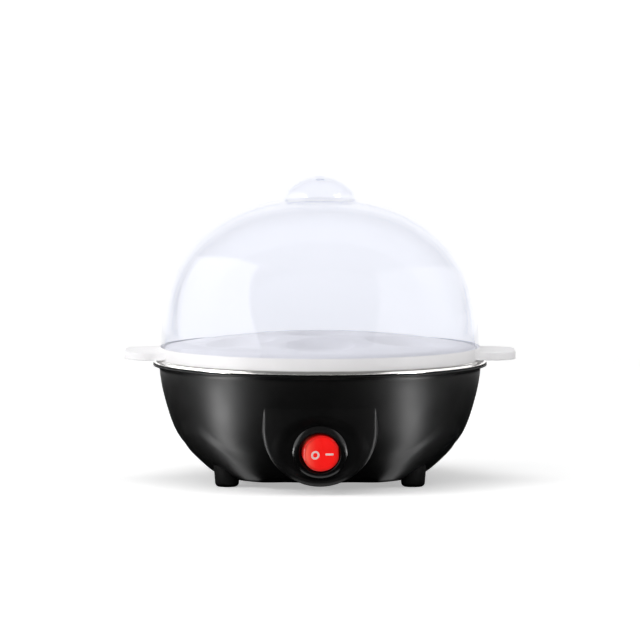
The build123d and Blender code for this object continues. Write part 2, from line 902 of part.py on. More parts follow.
with BuildPart() as switch_tabs:
    # Load tab with its contact, middle tab with its fulcrum, and the lamp's tab
    with BuildSketch(switch_plane.offset(-switch_depth - tab_l)):
        with Locations((-contact_x, 0), (0, 0), (lamp_tab_x, 0)):
            Rectangle(tab_t, tab_w)
    extrude(amount=tab_l + switch_floor_t + lamp_tab_rise)
    with BuildSketch(switch_plane.offset(-switch_depth)):
        with Locations((-contact_x, 0), (0, 0)):
            Rectangle(tab_t, blade_w)
    extrude(amount=switch_depth - pivot_depth + rivet_foot_h - 2 * rivet_h)
    with BuildSketch(switch_plane.offset(-switch_depth)):
        Rectangle(tab_t, blade_w)
    extrude(amount=switch_depth + blade_axis_h - fulcrum_r / 2)
    with BuildSketch(blade_section):
        Circle(fulcrum_r)
    extrude(amount=blade_w / 2, both=True)
    with BuildSketch(switch_plane.offset(rivet_foot_h - pivot_depth - rivet_gap - 2 * rivet_h)):
        with Locations((-contact_x, 0)):
            Circle(contact_r)
    extrude(amount=2 * rivet_h)
save(switch_tabs, "switch_tabs")

# The blade is drawn level about its fulcrum and tipped to the ON side
blade_pivot = Axis(blade_axis_plane.origin, switch_plane.y_dir)

with BuildPart() as level_blade:
    with BuildSketch(blade_axis_plane):
        Rectangle(blade_l, blade_w)
    extrude(amount=blade_t)
    with BuildSketch(blade_axis_plane):
        with Locations((-contact_x, 0)):
            Circle(contact_r)
    extrude(amount=-rivet_h)
    with BuildSketch(blade_section):
        Circle(fulcrum_r + fulcrum_gap)
    extrude(amount=blade_w, both=True, mode=Mode.SUBTRACT)

with BuildPart() as contact_blade:
    add(level_blade.part.rotate(blade_pivot, -blade_tilt))
save(contact_blade, "contact_blade")

# Rocker: its ends are round about the pivot, so it turns inside the bezel's mouth
rocker_turn = Axis(pivot_plane.origin, switch_plane.y_dir)
hollow_top_h = rocker_valley_h - rocker_wall
plunger_top_h = -plunger_tip_h + plunger_l
spring_room_top_h = hollow_top_h - rocker_wall / 2

with BuildPart() as level_rocker:
    with BuildSketch(pivot_plane.offset(-rocker_under_h)):
        Circle(rocker_plan_r)
    extrude(amount=rocker_under_h + rocker_edge_h + rocker_wall)
    with BuildSketch(pivot_section.offset(-rocker_plan_r)):
        with BuildLine():
            slope = (rocker_edge_h - rocker_valley_h) / rocker_plan_r
            outer = rocker_side_r + rocker_wall
            FilletPolyline(
                (-outer, rocker_valley_h + slope * outer),
                (0, rocker_valley_h),
                (outer, rocker_valley_h + slope * outer),
                radius=rocker_side_r,
            )
            Polyline(
                (outer, rocker_valley_h + slope * outer),
                (outer, -outer),
                (-outer, -outer),
                (-outer, rocker_valley_h + slope * outer),
            )
        make_face()
        Circle(rocker_side_r, mode=Mode.INTERSECT)
    extrude(amount=2 * rocker_plan_r, mode=Mode.INTERSECT)
    with BuildSketch(pivot_plane.offset(-rocker_under_h)):
        Circle(rocker_plan_r - rocker_wall)
    extrude(amount=rocker_under_h + hollow_top_h, mode=Mode.SUBTRACT)
    with BuildSketch(pivot_plane.offset(plunger_top_h - rocker_wall)):
        Circle(stem_r)
    extrude(amount=hollow_top_h - plunger_top_h + rocker_wall)
    with BuildSketch(pivot_plane.offset(plunger_top_h - rocker_wall)):
        Circle(plunger_r + plunger_gap)
    extrude(amount=spring_room_top_h - plunger_top_h + rocker_wall, mode=Mode.SUBTRACT)
    for side in (1, -1):
        with BuildSketch(
            Plane(
                origin=pivot_plane.origin + switch_plane.y_dir * side * (rocker_plan_r - rocker_wall),
                x_dir=switch_plane.x_dir,
                z_dir=switch_plane.y_dir * side,
            )
        ):
            Circle(pivot_r)
        extrude(amount=switch_r - pivot_end_gap - rocker_plan_r + rocker_wall)

with BuildPart() as rocker:
    add(level_rocker.part.rotate(rocker_turn, rocker_tilt))
save(rocker, "rocker")

with BuildPart() as level_plunger:
    with BuildSketch(pivot_plane.offset(plunger_top_h)):
        Circle(plunger_r)
    extrude(amount=-plunger_l + plunger_r)
    with Locations(pivot_plane.offset(-plunger_tip_h + plunger_r)):
        Sphere(plunger_r)

with BuildPart() as rocker_plunger:
    add(level_plunger.part.rotate(rocker_turn, rocker_tilt))
save(rocker_plunger, "rocker_plunger")

spring_l = spring_room_top_h - plunger_top_h - 2 * spring_wire_r
with BuildPart() as level_spring:
    with BuildLine():
        coil = Helix(pitch=spring_l / spring_turns, height=spring_l, radius=spring_r)
    with BuildSketch(Plane(origin=coil @ 0, z_dir=coil % 0)):
        RegularPolygon(spring_wire_r, 5)
    sweep(path=coil, is_frenet=True)

with BuildPart() as rocker_spring:
    spring_place = pivot_plane.offset(plunger_top_h + spring_wire_r).location
    add((spring_place * level_spring.part).rotate(rocker_turn, rocker_tilt))
save(rocker_spring, "rocker_spring")

with BuildPart() as neon_lamp:
    lamp_plane = switch_plane.offset(switch_floor_w + lamp_r)
    lamp_start = lamp_plane.from_local_coords(Vector(-lamp_l / 2, lamp_y, 0))
    with BuildSketch(Plane(origin=lamp_start, x_dir=switch_plane.y_dir, z_dir=switch_plane.x_dir)):
        Circle(lamp_r)
    extrude(amount=lamp_l)
    for start_x, end_x in ((lamp_l / 2, lamp_tab_x), (-lamp_l / 2, -contact_x)):
        lead_start = lamp_plane.from_local_coords(Vector(start_x, lamp_y, 0))
        lead_end = lamp_plane.from_local_coords(Vector(end_x, tab_w / 2, 0))
        with BuildSketch(Plane(origin=lead_start, z_dir=lead_end - lead_start)):
            Circle(lamp_lead_r)
        extrude(amount=(lead_end - lead_start).length - lamp_lead_r)
save(neon_lamp, "neon_lamp")


# Egg tray

plate_edge_z = ledge_z + plate_edge_h
crown_sphere_r = (plate_edge_r**2 + crown_h**2) / (2 * crown_h)
crown_centre_z = plate_edge_z + crown_h - crown_sphere_r


def crown_z(radius, depth):
    """Height of the crowned plate at a radius, depth below its top surface."""
    return crown_centre_z + sqrt((crown_sphere_r - depth) ** 2 - radius**2)


def crown_arc(radius, depth):
    """The plate's line from a radius in to the axis, depth below its top surface."""
    return ThreePointArc(
        (radius, crown_z(radius, depth)),
        (radius / 2, crown_z(radius / 2, depth)),
        (0, crown_z(0, depth)),
    )


skirt_inner_r = skirt_r - skirt_t
ring_root_z = ledge_z - ring_t
seat_places = [(0, 0)]
for step in range(seat_count):
    angle = radians(90 + 360 / seat_count * step)
    seat_places.append((seat_ring_r * cos(angle), seat_ring_r * sin(angle)))
egg_seat_sphere_r = (egg_seat_r**2 + egg_seat_depth**2) / (2 * egg_seat_depth)


def seat_caps(depth):
    """Round caps under every seat, whose skin lies depth outside the seat's dish."""
    with BuildPart() as caps:
        for x, y in seat_places:
            centre_z = crown_z(hypot(x, y), 0) + egg_seat_sphere_r - egg_seat_depth
            with BuildSketch(Plane(origin=(x, y, 0), x_dir=(1, 0, 0), z_dir=(0, -1, 0))):
                with Locations((0, centre_z)):
                    Circle(egg_seat_sphere_r + depth)
                with Locations((0, crown_z(0, 0))):
                    Rectangle(
                        2 * egg_seat_r,
                        4 * egg_seat_depth,
                        align=(Align.MIN, Align.CENTER),
                        mode=Mode.INTERSECT,
                    )
            revolve(axis=Axis((x, y, 0), (0, 0, 1)))
    return caps.part


def ear_slabs(inset, foot_z, height):
    """Both ear handles as flat slabs outside the ring, drawn in by inset."""
    with BuildPart() as slabs:
        with BuildSketch(Plane.XY.offset(foot_z)):
            RectangleRounded(2 * (ear_tip_x - inset), ear_w - 2 * inset, ear_corner_r - inset)
            Circle(ring_r - ring_t / 2 + inset, mode=Mode.SUBTRACT)
        extrude(amount=height)
    return slabs.part


ear_foot_z = pan_rim_z + ear_gap

# Everything under the crowned plate's top, to trim what lies below the seats
with BuildPart() as under_crown:
    with BuildSketch(Plane.XZ):
        with BuildLine():
            crown_arc(skirt_r, 0)
            Polyline((0, crown_z(0, 0)), (0, skirt_z), (skirt_r, skirt_z), (skirt_r, crown_z(skirt_r, 0)))
        make_face()
    revolve(axis=Axis.Z)
    add(seat_caps(egg_seat_t), mode=Mode.INTERSECT)

with BuildPart() as egg_tray:
    with BuildSketch(Plane.XZ):
        with BuildLine():
            crown_arc(plate_edge_r, 0)
            Line((0, crown_z(0, 0)), (0, crown_z(0, tray_t)))
            crown_arc(skirt_inner_r, tray_t)
            Polyline(
                (skirt_inner_r, crown_z(skirt_inner_r, tray_t)),
                (skirt_inner_r, skirt_z),
                (skirt_r, skirt_z),
                (skirt_r, ring_root_z),
                (ring_r - ring_t, ring_root_z),
                (ring_r - ring_t, pan_rim_z),
                (ring_r, pan_rim_z),
                (ring_r, ledge_z + groove_lip_h),
                (groove_r, ledge_z + groove_lip_h),
                (groove_r, ledge_z),
                (plate_edge_r, ledge_z),
                (plate_edge_r, plate_edge_z),
            )
        make_face()
    revolve(axis=Axis.Z)
    add(under_crown.part)
    add(seat_caps(0), mode=Mode.SUBTRACT)
    add(ear_slabs(0, ear_foot_z, ear_h))
    ear_edges = egg_tray.edges().filter_by(lambda edge: abs(edge.center().X) > ring_r + ear_wall)
    fillet(ear_edges, radius=ear_round)
    add(ear_slabs(ear_wall, ear_foot_z, ear_h - ear_skin), mode=Mode.SUBTRACT)
    with BuildSketch(Plane.XY.offset(skirt_z)):
        with Locations(*seat_places):
            Circle(steam_hole_r)
    extrude(amount=crown_z(0, 0) - skirt_z, mode=Mode.SUBTRACT)
save(egg_tray, "egg_tray")


# Dome lid: its side follows a superellipse from the shoulder to the knob


def dome_line(depth):
    """The dome's side, drawn in by depth, as far as the knob's foot."""
    wide = lid_r - depth
    high = lid_top_z - lid_shoulder_z - depth
    reach = acos((knob_foot_r / lid_r) ** (lid_fullness / 2))
    points = []
    for step in range(lid_line_steps + 1):
        turn = reach * step / lid_line_steps
        points.append(
            (
                wide * cos(turn) ** (2 / lid_fullness),
                lid_shoulder_z + high * sin(turn) ** (2 / lid_fullness),
            )
        )
    return points


knob_points = [
    (knob_side_r, lid_top_z + knob_side_h),
    (knob_shoulder_r, lid_top_z + knob_shoulder_h),
    (knob_crown_r, lid_top_z + knob_crown_h),
    (knob_bulge_r, lid_top_z + knob_bulge_h),
    (0, lid_top_z + dimple_h),
]
knob_tangents = [(-0.15, 1), (-1, 0)]
dome_tangents = [(0, 1), (-1, 0.25)]
knob_line = Spline(dome_line(0)[-1], *knob_points, tangents=knob_tangents)
knob_inner = inset_points(knob_line, lid_t)

with BuildPart() as lid:
    with BuildSketch(Plane.XZ):
        with BuildLine():
            side = Spline(*dome_line(0), tangents=dome_tangents, tangent_scalars=[1, 1])
            Spline(side @ 1, *knob_points, tangents=knob_tangents)
            Polyline((0, lid_top_z + dimple_h), (0, ledge_z), (lid_r, ledge_z), (lid_r, lid_shoulder_z))
        make_face()
    revolve(axis=Axis.Z)
    with BuildSketch(Plane.XZ):
        with BuildLine():
            side = Spline(*dome_line(lid_t), tangents=dome_tangents, tangent_scalars=[1, 1])
            Polyline(
                side @ 1,
                (0, (side @ 1).Y),
                (0, ledge_z),
                (lid_r - lid_t, ledge_z),
                (lid_r - lid_t, lid_shoulder_z),
            )
        make_face()
    revolve(axis=Axis.Z, mode=Mode.SUBTRACT)
    with BuildSketch(Plane.XZ):
        with BuildLine():
            cap = Spline(*knob_inner[1:])
            Polyline(cap @ 1, (0, (side @ 1).Y - lid_t), ((cap @ 0).X, (side @ 1).Y - lid_t), cap @ 0)
        make_face()
    revolve(axis=Axis.Z, mode=Mode.SUBTRACT)
    with BuildSketch(Plane.XY.offset(lid_top_z)):
        Circle(vent_hole_r)
    extrude(amount=knob_bulge_h + lid_t, mode=Mode.SUBTRACT)
save(lid, "lid")


# Wires, each with the sleeves that it ends in


def tab_plane(place, leaves):
    """A plane at a tab's root that faces the way its wire leaves."""
    return Plane(origin=place, x_dir=tab_side(leaves), z_dir=leaves)


def tab_side(leaves):
    """The wide direction of a tab: along X below the heater, upright on the switch."""
    if abs(leaves.Z) > abs(leaves.Y):
        return (1, 0, 0)
    return switch_plane.y_dir


sleeve_reach = sleeve_root_gap + tab_l + sleeve_back


def run_wire(label, points, bends, sleeves):
    """One insulated wire of straight runs and round bends, with its sleeves."""
    with BuildPart() as lead:
        with BuildLine():
            route = FilletPolyline(*points, radius=bends)
        with BuildSketch(Plane(origin=route @ 0, z_dir=route % 0)):
            Circle(wire_r)
        sweep(path=route)
        for place in sleeves:
            with BuildSketch(place.offset(sleeve_root_gap)):
                Rectangle(tab_w + 2 * sleeve_gap + 2 * sleeve_wall, tab_t + 2 * sleeve_gap + 2 * sleeve_wall)
            extrude(amount=tab_l + sleeve_back)
            with BuildSketch(place.offset(sleeve_root_gap)):
                Rectangle(tab_w + 2 * sleeve_gap, tab_t + 2 * sleeve_gap)
            extrude(amount=tab_l - sleeve_gap, mode=Mode.SUBTRACT)
    save(lead, label)


inward = -switch_plane.z_dir
down = Vector(0, 0, -1)
middle_tab = tab_plane(switch_plane.from_local_coords(Vector(0, 0, -switch_depth)), inward)
load_tab = tab_plane(switch_plane.from_local_coords(Vector(-contact_x, 0, -switch_depth)), inward)
lamp_tab = tab_plane(switch_plane.from_local_coords(Vector(lamp_tab_x, 0, -switch_depth)), inward)
front_tab = tab_plane(Vector(0, -tab_thermostat_y, thermostat_foot_z), down)
rear_tab = tab_plane(Vector(0, tab_thermostat_y, thermostat_foot_z), down)
rear_leg_tab = tab_plane(Vector(leg_x, leg_y, tab_foot_z), down)
front_leg_tab = tab_plane(Vector(leg_x, -leg_y, tab_foot_z), down)


def sleeve_end(place):
    """Where the wire leaves a sleeve."""
    return place.origin + place.z_dir * sleeve_reach


def beyond(place, length):
    """A point straight past the end of a sleeve."""
    return place.origin + place.z_dir * (sleeve_reach + length)


def at_height(point, z):
    """The point straight above or below another."""
    return Vector(point.X, point.Y, z)


way_end_y = block_y - block_bore_r
turn_room = 1.5 * wire_bend

start = sleeve_end(middle_tab)
turn = beyond(middle_tab, turn_room)
run_wire(
    "wire_live",
    [
        start,
        turn,
        at_height(turn, low_wire_z),
        (ways[1], turn.Y + 2 * turn_room, low_wire_z),
        (ways[1], way_end_y, block_bore_z),
    ],
    wire_bend,
    [middle_tab],
)

start = sleeve_end(lamp_tab)
turn = beyond(lamp_tab, turn_room)
run_wire(
    "wire_lamp",
    [
        start,
        turn,
        at_height(turn, low_wire_z),
        (ways[2], turn.Y + 2 * turn_room, low_wire_z),
        (ways[2], way_end_y, block_bore_z),
    ],
    wire_bend,
    [lamp_tab],
)

fuse_reach_x = fuse_l / 2 + fuse_wire_reach
start = sleeve_end(load_tab)
turn = beyond(load_tab, wire_bend)
dip_z = (thermostat_foot_z + turn.Z) / 2 - wire_bend
run_wire(
    "wire_switched",
    [
        start,
        turn,
        (-fuse_reach_x, turn.Y + turn_room, dip_z),
        (-fuse_reach_x, -fuse_y, dip_z),
        (-fuse_reach_x, -fuse_y, fuse_z),
        (-fuse_l / 2, -fuse_y, fuse_z),
    ],
    [wire_bend / 2, wire_bend / 2, wire_bend - wire_r, wire_bend - wire_r],
    [load_tab],
)

start = sleeve_end(front_tab)
short_bend = start.Z - high_wire_z - bend_margin
run_wire(
    "wire_fused",
    [
        start,
        at_height(start, high_wire_z),
        (fuse_reach_x, -fuse_y, high_wire_z),
        (fuse_reach_x, -fuse_y, fuse_z),
        (fuse_l / 2, -fuse_y, fuse_z),
    ],
    [short_bend, wire_bend, wire_bend],
    [front_tab],
)

start = sleeve_end(rear_tab)
end = sleeve_end(rear_leg_tab)
run_wire(
    "wire_heater",
    [start, at_height(start, high_wire_z), at_height(end, high_wire_z), end],
    short_bend,
    [rear_tab, rear_leg_tab],
)

start = sleeve_end(front_leg_tab)
run_wire(
    "wire_neutral",
    [
        start,
        at_height(start, low_wire_z + wire_r),
        (ways[3], block_y - neutral_wire_reach, low_wire_z + wire_r),
        (ways[3], way_end_y, block_bore_z),
    ],
    wire_bend - wire_r,
    [front_leg_tab],
)

tongue_y = stud_y - tag_tongue_l + wire_r
run_wire(
    "wire_earth",
    [
        (ways[0], way_end_y, block_bore_z),
        (ways[0], block_y - block_d - wire_bend, block_bore_z),
        (stud_x, tongue_y, block_bore_z + 2 * wire_bend),
        (stud_x, tongue_y, tag_z),
    ],
    wire_bend,
    [],
)
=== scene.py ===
"""Egg cooker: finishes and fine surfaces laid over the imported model, with its stage.

Every size is in metres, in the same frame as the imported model: the origin is on
the table under the cooker, +Z is up and the switch faces -Y.
"""

import math

import bpy
import bmesh
import numpy as np
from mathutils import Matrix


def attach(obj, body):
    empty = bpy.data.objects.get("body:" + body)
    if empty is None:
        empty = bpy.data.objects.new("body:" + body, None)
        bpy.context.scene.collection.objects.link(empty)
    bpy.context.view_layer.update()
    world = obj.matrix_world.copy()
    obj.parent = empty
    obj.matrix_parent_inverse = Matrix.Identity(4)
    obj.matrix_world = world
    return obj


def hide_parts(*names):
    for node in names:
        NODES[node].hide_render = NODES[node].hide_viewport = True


bl_info = {
    "name": "Egg cooker",
    "version": (1, 0, 0),
    "blender": (4, 5, 0),
    "location": "View3D > Sidebar > Egg cooker",
    "description": "Builds the finished surfaces of an egg cooker over its packed model",
    "category": "Object",
}

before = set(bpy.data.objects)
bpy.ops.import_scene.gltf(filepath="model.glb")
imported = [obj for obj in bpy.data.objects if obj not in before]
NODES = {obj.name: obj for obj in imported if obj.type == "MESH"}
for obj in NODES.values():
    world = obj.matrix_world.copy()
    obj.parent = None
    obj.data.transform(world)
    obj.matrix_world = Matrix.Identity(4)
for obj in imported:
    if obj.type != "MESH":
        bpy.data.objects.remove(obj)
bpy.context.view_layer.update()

MM = 0.001
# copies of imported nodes: points nearer than this are joined, edges sharper than this stay sharp
MERGE, SHARP = 0.02 * MM, math.radians(32.0)

# Settings


class EggCookerBowl(bpy.types.PropertyGroup):
    """Sizes and colours of the bowl, its pad and its feet."""

    colour: bpy.props.FloatVectorProperty(
        name="Bowl colour",
        description="Colour of the moulded bowl",
        default=(0.003, 0.003, 0.0031), min=0.0, max=1.0,
        subtype="COLOR",
    )
    roughness: bpy.props.FloatProperty(
        name="Bowl roughness",
        description="How satin the bowl's gloss is",
        default=0.4, min=0.0, max=1.0,
        subtype="FACTOR",
    )
    foot_colour: bpy.props.FloatVectorProperty(
        name="Foot colour",
        description="Colour of the rubber feet",
        default=(0.0015, 0.0015, 0.0015), min=0.0, max=1.0,
        subtype="COLOR",
    )
    skin: bpy.props.FloatProperty(
        name="Skin",
        description="How far the fine outer skin lies over the solid bowl",
        default=0.02 * MM, min=0.0, max=1.0 * MM,
        unit="LENGTH", subtype="DISTANCE",
        precision=5,
    )


class EggCookerTray(bpy.types.PropertyGroup):
    """Colour of the egg tray."""

    colour: bpy.props.FloatVectorProperty(
        name="Tray colour",
        description="Colour of the moulded tray",
        default=(0.83, 0.82, 0.83), min=0.0, max=1.0,
        subtype="COLOR",
    )


class EggCookerDome(bpy.types.PropertyGroup):
    """Colour and clearness of the dome lid."""

    tint: bpy.props.FloatVectorProperty(
        name="Dome tint",
        description="What one face of the clear plastic lets through",
        default=(0.968, 0.973, 0.993), min=0.0, max=1.0,
        subtype="COLOR",
    )
    haze_colour: bpy.props.FloatVectorProperty(
        name="Haze colour",
        description="Colour of the faint haze in the plastic",
        default=(0.5, 0.53, 0.8), min=0.0, max=1.0,
        subtype="COLOR",
    )
    haze: bpy.props.FloatProperty(
        name="Haze",
        description="How much one face hides when it is looked at squarely",
        default=0.007, min=0.0, max=1.0,
        subtype="FACTOR",
    )
    shine: bpy.props.FloatProperty(
        name="Shine",
        description="How much one face mirrors when it is looked at squarely",
        default=0.024, min=0.0, max=1.0,
        subtype="FACTOR",
    )


class EggCookerSwitch(bpy.types.PropertyGroup):
    """Colours of the switch."""

    rocker_colour: bpy.props.FloatVectorProperty(
        name="Rocker colour",
        description="Colour of the red rocker",
        default=(0.62, 0.006, 0.005), min=0.0, max=1.0,
        subtype="COLOR",
    )
    mark_colour: bpy.props.FloatVectorProperty(
        name="Mark colour",
        description="Colour of the ring and the bar printed on the rocker",
        default=(0.86, 0.62, 0.58), min=0.0, max=1.0,
        subtype="COLOR",
    )
    # the glow's strength also sets the painted highlight and the painted shade laid into the
    # rocker's glow
    glow: bpy.props.FloatProperty(
        name="Glow",
        description="How strongly the lamp behind the rocker lights it",
        default=0.42, min=0.0, max=5.0,
    )


class EggCookerStage(bpy.types.PropertyGroup):
    """Camera and even light."""

    distance: bpy.props.FloatProperty(
        name="Camera distance",
        description="Distance from the camera to the cooker's axis",
        default=3.1, min=0.5,
        unit="LENGTH", subtype="DISTANCE",
    )
    height: bpy.props.FloatProperty(
        name="Camera height",
        description="Height of the camera over the table",
        default=0.31,
        unit="LENGTH", subtype="DISTANCE",
    )
    aim: bpy.props.FloatProperty(
        name="Aim height",
        description="Height on the cooker's axis that the camera looks at",
        default=0.0757,
        unit="LENGTH", subtype="DISTANCE",
    )
    view_width: bpy.props.FloatProperty(
        name="View width",
        description="Width that the picture covers at the cooker's axis",
        default=0.2993, min=0.05,
        unit="LENGTH", subtype="DISTANCE",
    )
    ambient: bpy.props.FloatProperty(
        name="Ambient light",
        description="Strength of the even light from all round",
        default=0.25, min=0.0, max=5.0,
    )


# Meshes


def place(name, data):
    """A new object at the origin that holds the mesh, lamp or camera."""
    made = bpy.data.objects.new(name, data)
    bpy.context.scene.collection.objects.link(made)
    return made


def make_object(name, verts, quads, tris=()):
    """A smooth mesh object from arrays of points, quads and triangles."""
    verts = np.asarray(verts, np.float32).reshape(-1, 3)
    quads = np.asarray(quads, np.int32).reshape(-1, 4)
    tris = np.asarray(tris, np.int32).reshape(-1, 3)
    mesh = bpy.data.meshes.new(name)
    mesh.vertices.add(len(verts))
    mesh.vertices.foreach_set("co", verts.ravel())
    corners = np.concatenate([quads.ravel(), tris.ravel()])
    mesh.loops.add(len(corners))
    mesh.loops.foreach_set("vertex_index", corners)
    counts = np.concatenate([np.full(len(quads), 4), np.full(len(tris), 3)])
    starts = np.concatenate([[0], np.cumsum(counts)[:-1]])
    mesh.polygons.add(len(counts))
    mesh.polygons.foreach_set("loop_start", starts.astype(np.int32))
    mesh.polygons.foreach_set("loop_total", counts.astype(np.int32))
    mesh.update(calc_edges=True)
    mesh.validate()
    mesh.polygons.foreach_set("use_smooth", np.ones(len(mesh.polygons), bool))
    return place(name, mesh)


def grid_quads(rows, columns):
    """Quads between the neighbouring points of a grid, by the points' numbers row after row."""
    index = np.arange(rows * columns).reshape(rows, columns)
    return np.stack([index[:-1, :-1], index[1:, :-1], index[1:, 1:], index[:-1, 1:]], -1)


def ring_sheet(
    name, rows, closed_rows=False, pole_start=False, pole_end=False, flip=False, gap=None
):
    """Quads between rings: rows[i, j] is point j of ring i, and every ring closes on itself.

    closed_rows joins the last ring to the first; a pole replaces a first or last
    ring by its middle point. gap tells from the quads' middles which are left out.
    """
    rows = np.asarray(rows, float)
    count, around, _ = rows.shape
    index = np.arange(count * around).reshape(count, around)
    here, there = (index, np.roll(index, -1, axis=0)) if closed_rows else (index[:-1], index[1:])
    quads = np.stack([here, np.roll(here, -1, 1), np.roll(there, -1, 1), there], -1).reshape(-1, 4)
    verts = rows.reshape(-1, 3)
    if gap:
        quads = quads[~gap(verts[quads].mean(1))]
    tris = []
    for ring, pole in ((0, pole_start), (-1, pole_end)):
        if pole:
            verts = np.vstack([verts, rows[ring].mean(0)])
            tip = np.full(around, len(verts) - 1)
            here, on = index[ring], np.roll(index[ring], -1)
            tris.append(np.stack([tip, here, on] if ring else [tip, on, here], -1))
    tris = np.concatenate(tris) if tris else np.zeros((0, 3), int)
    if flip:
        quads, tris = quads[:, ::-1], tris[:, ::-1]
    return make_object(name, verts, quads, tris)


def full_turn(count):
    """Angles round a full circle, in even steps."""
    return np.linspace(0, 2 * np.pi, count, endpoint=False)


def lathe_rows(profile, around):
    """Rings about +Z: each profile point (r, z) becomes a circle of radius r at height z."""
    profile = np.asarray(profile, float)
    turn = full_turn(around)
    r, z = profile[:, :1], profile[:, 1:]
    return np.stack([r * np.cos(turn), r * np.sin(turn), z + 0 * turn], -1)


def left_of(line):
    """The unit normals on the left of a line, from the differences of neighbouring points."""
    step = np.gradient(line, axis=0)
    step /= np.linalg.norm(step, axis=1)[:, None]
    return np.stack([-step[:, 1], step[:, 0]], -1)


def smooth_line(points, start, end, count):
    """A cubic through the points, by chord length, with the given directions at its ends.

    Between neighbours it is a Hermite cubic whose slopes make the curvature run
    on without a step, which is one tridiagonal set of equations.
    """
    p = np.asarray(points, float)
    h = np.linalg.norm(np.diff(p, axis=0), axis=1)
    n = len(p)
    a, b = np.eye(n), np.zeros((n, 2))
    b[0], b[-1] = (np.asarray(way, float) / np.linalg.norm(way) for way in (start, end))
    for i in range(1, n - 1):
        a[i, i - 1 : i + 2] = h[i], 2 * (h[i - 1] + h[i]), h[i - 1]
        b[i] = 3 * (h[i] * (p[i] - p[i - 1]) / h[i - 1] + h[i - 1] * (p[i + 1] - p[i]) / h[i])
    m = np.linalg.solve(a, b)
    t = np.concatenate([[0], np.cumsum(h)])
    s = np.linspace(0, t[-1], count)
    k = np.clip(np.searchsorted(t, s, side="right") - 1, 0, n - 2)
    u = ((s - t[k]) / h[k])[:, None]
    hk = h[k][:, None]
    return (
        (2 * u**3 - 3 * u**2 + 1) * p[k]
        + (u**3 - 2 * u**2 + u) * hk * m[k]
        + (-2 * u**3 + 3 * u**2) * p[k + 1]
        + (u**3 - u**2) * hk * m[k + 1]
    )


def rounded(points, radii, steps=6):
    """A line of straight runs whose inner corners are rounded by arcs of the given radii.

    An arc starts and ends where the runs touch it, its radius over the tangent
    of half the corner's angle away from the corner.
    """
    pts = [np.asarray(q, float) for q in points]
    out = [pts[0]]
    for before, corner, after, radius in zip(pts, pts[1:], pts[2:], radii):
        back, on = before - corner, after - corner
        back, on = back / np.linalg.norm(back), on / np.linalg.norm(on)
        half = math.acos(float(np.clip(back @ on, -1, 1))) / 2
        cut = radius / math.tan(half)
        middle = corner + (back + on) / np.linalg.norm(back + on) * radius / math.sin(half)
        first, last = corner + back * cut - middle, corner + on * cut - middle
        a0, a1 = math.atan2(first[1], first[0]), math.atan2(last[1], last[0])
        sweep = (a1 - a0 + math.pi) % (2 * math.pi) - math.pi
        arc = a0 + sweep * np.linspace(0, 1, steps + 1)
        out.extend(middle + radius * np.stack([np.cos(arc), np.sin(arc)], -1))
    out.append(pts[-1])
    return np.array(out)


def fine_copy(node, name, body):
    """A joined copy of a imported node, smooth over its gentle edges, that stands for it."""
    mesh = NODES[node].data.copy()
    mesh.name = name
    work = bmesh.new()
    work.from_mesh(mesh)
    bmesh.ops.remove_doubles(work, verts=work.verts, dist=MERGE)
    bmesh.ops.dissolve_degenerate(work, dist=MERGE, edges=work.edges)
    work.to_mesh(mesh)
    work.free()
    for layer in list(mesh.uv_layers):
        mesh.uv_layers.remove(layer)
    made = place(name, mesh)
    mesh.polygons.foreach_set("use_smooth", np.ones(len(mesh.polygons), bool))
    mesh.set_sharp_from_angle(angle=SHARP)
    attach(made, body)
    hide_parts(node)
    return made


def of_faces(made, field):
    """The middle or the normal of each of a piece's faces, one row of X, Y and Z for each."""
    values = np.empty(3 * len(made.data.polygons))
    made.data.polygons.foreach_get(field, values)
    return values.reshape(-1, 3)


def without_faces(made, gone):
    """The piece without the faces that are marked as gone."""
    work = bmesh.new()
    work.from_mesh(made.data)
    work.faces.ensure_lookup_table()
    bmesh.ops.delete(work, geom=[work.faces[i] for i in np.flatnonzero(gone)], context="FACES")
    work.to_mesh(made.data)
    work.free()
    return made


# Materials


def node_material(name):
    """A material with one Principled shader, ready for its textures."""
    material = bpy.data.materials.new(name)
    material.use_nodes = True
    tree = material.node_tree
    shader = tree.nodes["Principled BSDF"]
    return material, tree, shader


def bare_material(name):
    """A material with its shader still to be made, its tree and its output's socket."""
    material, tree, shader = node_material(name)
    tree.nodes.remove(shader)
    return material, tree, tree.nodes["Material Output"].inputs["Surface"]


def object_spot(tree):
    """The shaded point in Object coordinates."""
    return tree.nodes.new("ShaderNodeTexCoord").outputs["Object"]


def parts_of(tree, spot):
    """The X, Y and Z of a point."""
    parts = tree.nodes.new("ShaderNodeSeparateXYZ")
    tree.links.new(spot, parts.inputs["Vector"])
    return parts.outputs


def worked_out(tree, operation, first, second):
    """What a Math node makes of a socket and of another socket or a number."""
    made = tree.nodes.new("ShaderNodeMath")
    made.operation = operation
    tree.links.new(first, made.inputs[0])
    if isinstance(second, float):
        made.inputs[1].default_value = second
    else:
        tree.links.new(second, made.inputs[1])
    return made.outputs["Value"]


def span_between(tree, value, source, result, soft=False):
    """Runs from the one result to the other as the value runs between the sources."""
    span = tree.nodes.new("ShaderNodeMapRange")
    if soft:
        span.interpolation_type = "SMOOTHSTEP"
    for name, number in zip(("From Min", "From Max", "To Min", "To Max"), (*source, *result)):
        span.inputs[name].default_value = number
    tree.links.new(value, span.inputs["Value"])
    return span.outputs["Result"]


def mixed(tree, fac, first, second):
    """A shader that runs from the first to the second with fac."""
    made = tree.nodes.new("ShaderNodeMixShader")
    tree.links.new(fac, made.inputs["Fac"])
    tree.links.new(first, made.inputs[1])
    tree.links.new(second, made.inputs[2])
    return made.outputs["Shader"]


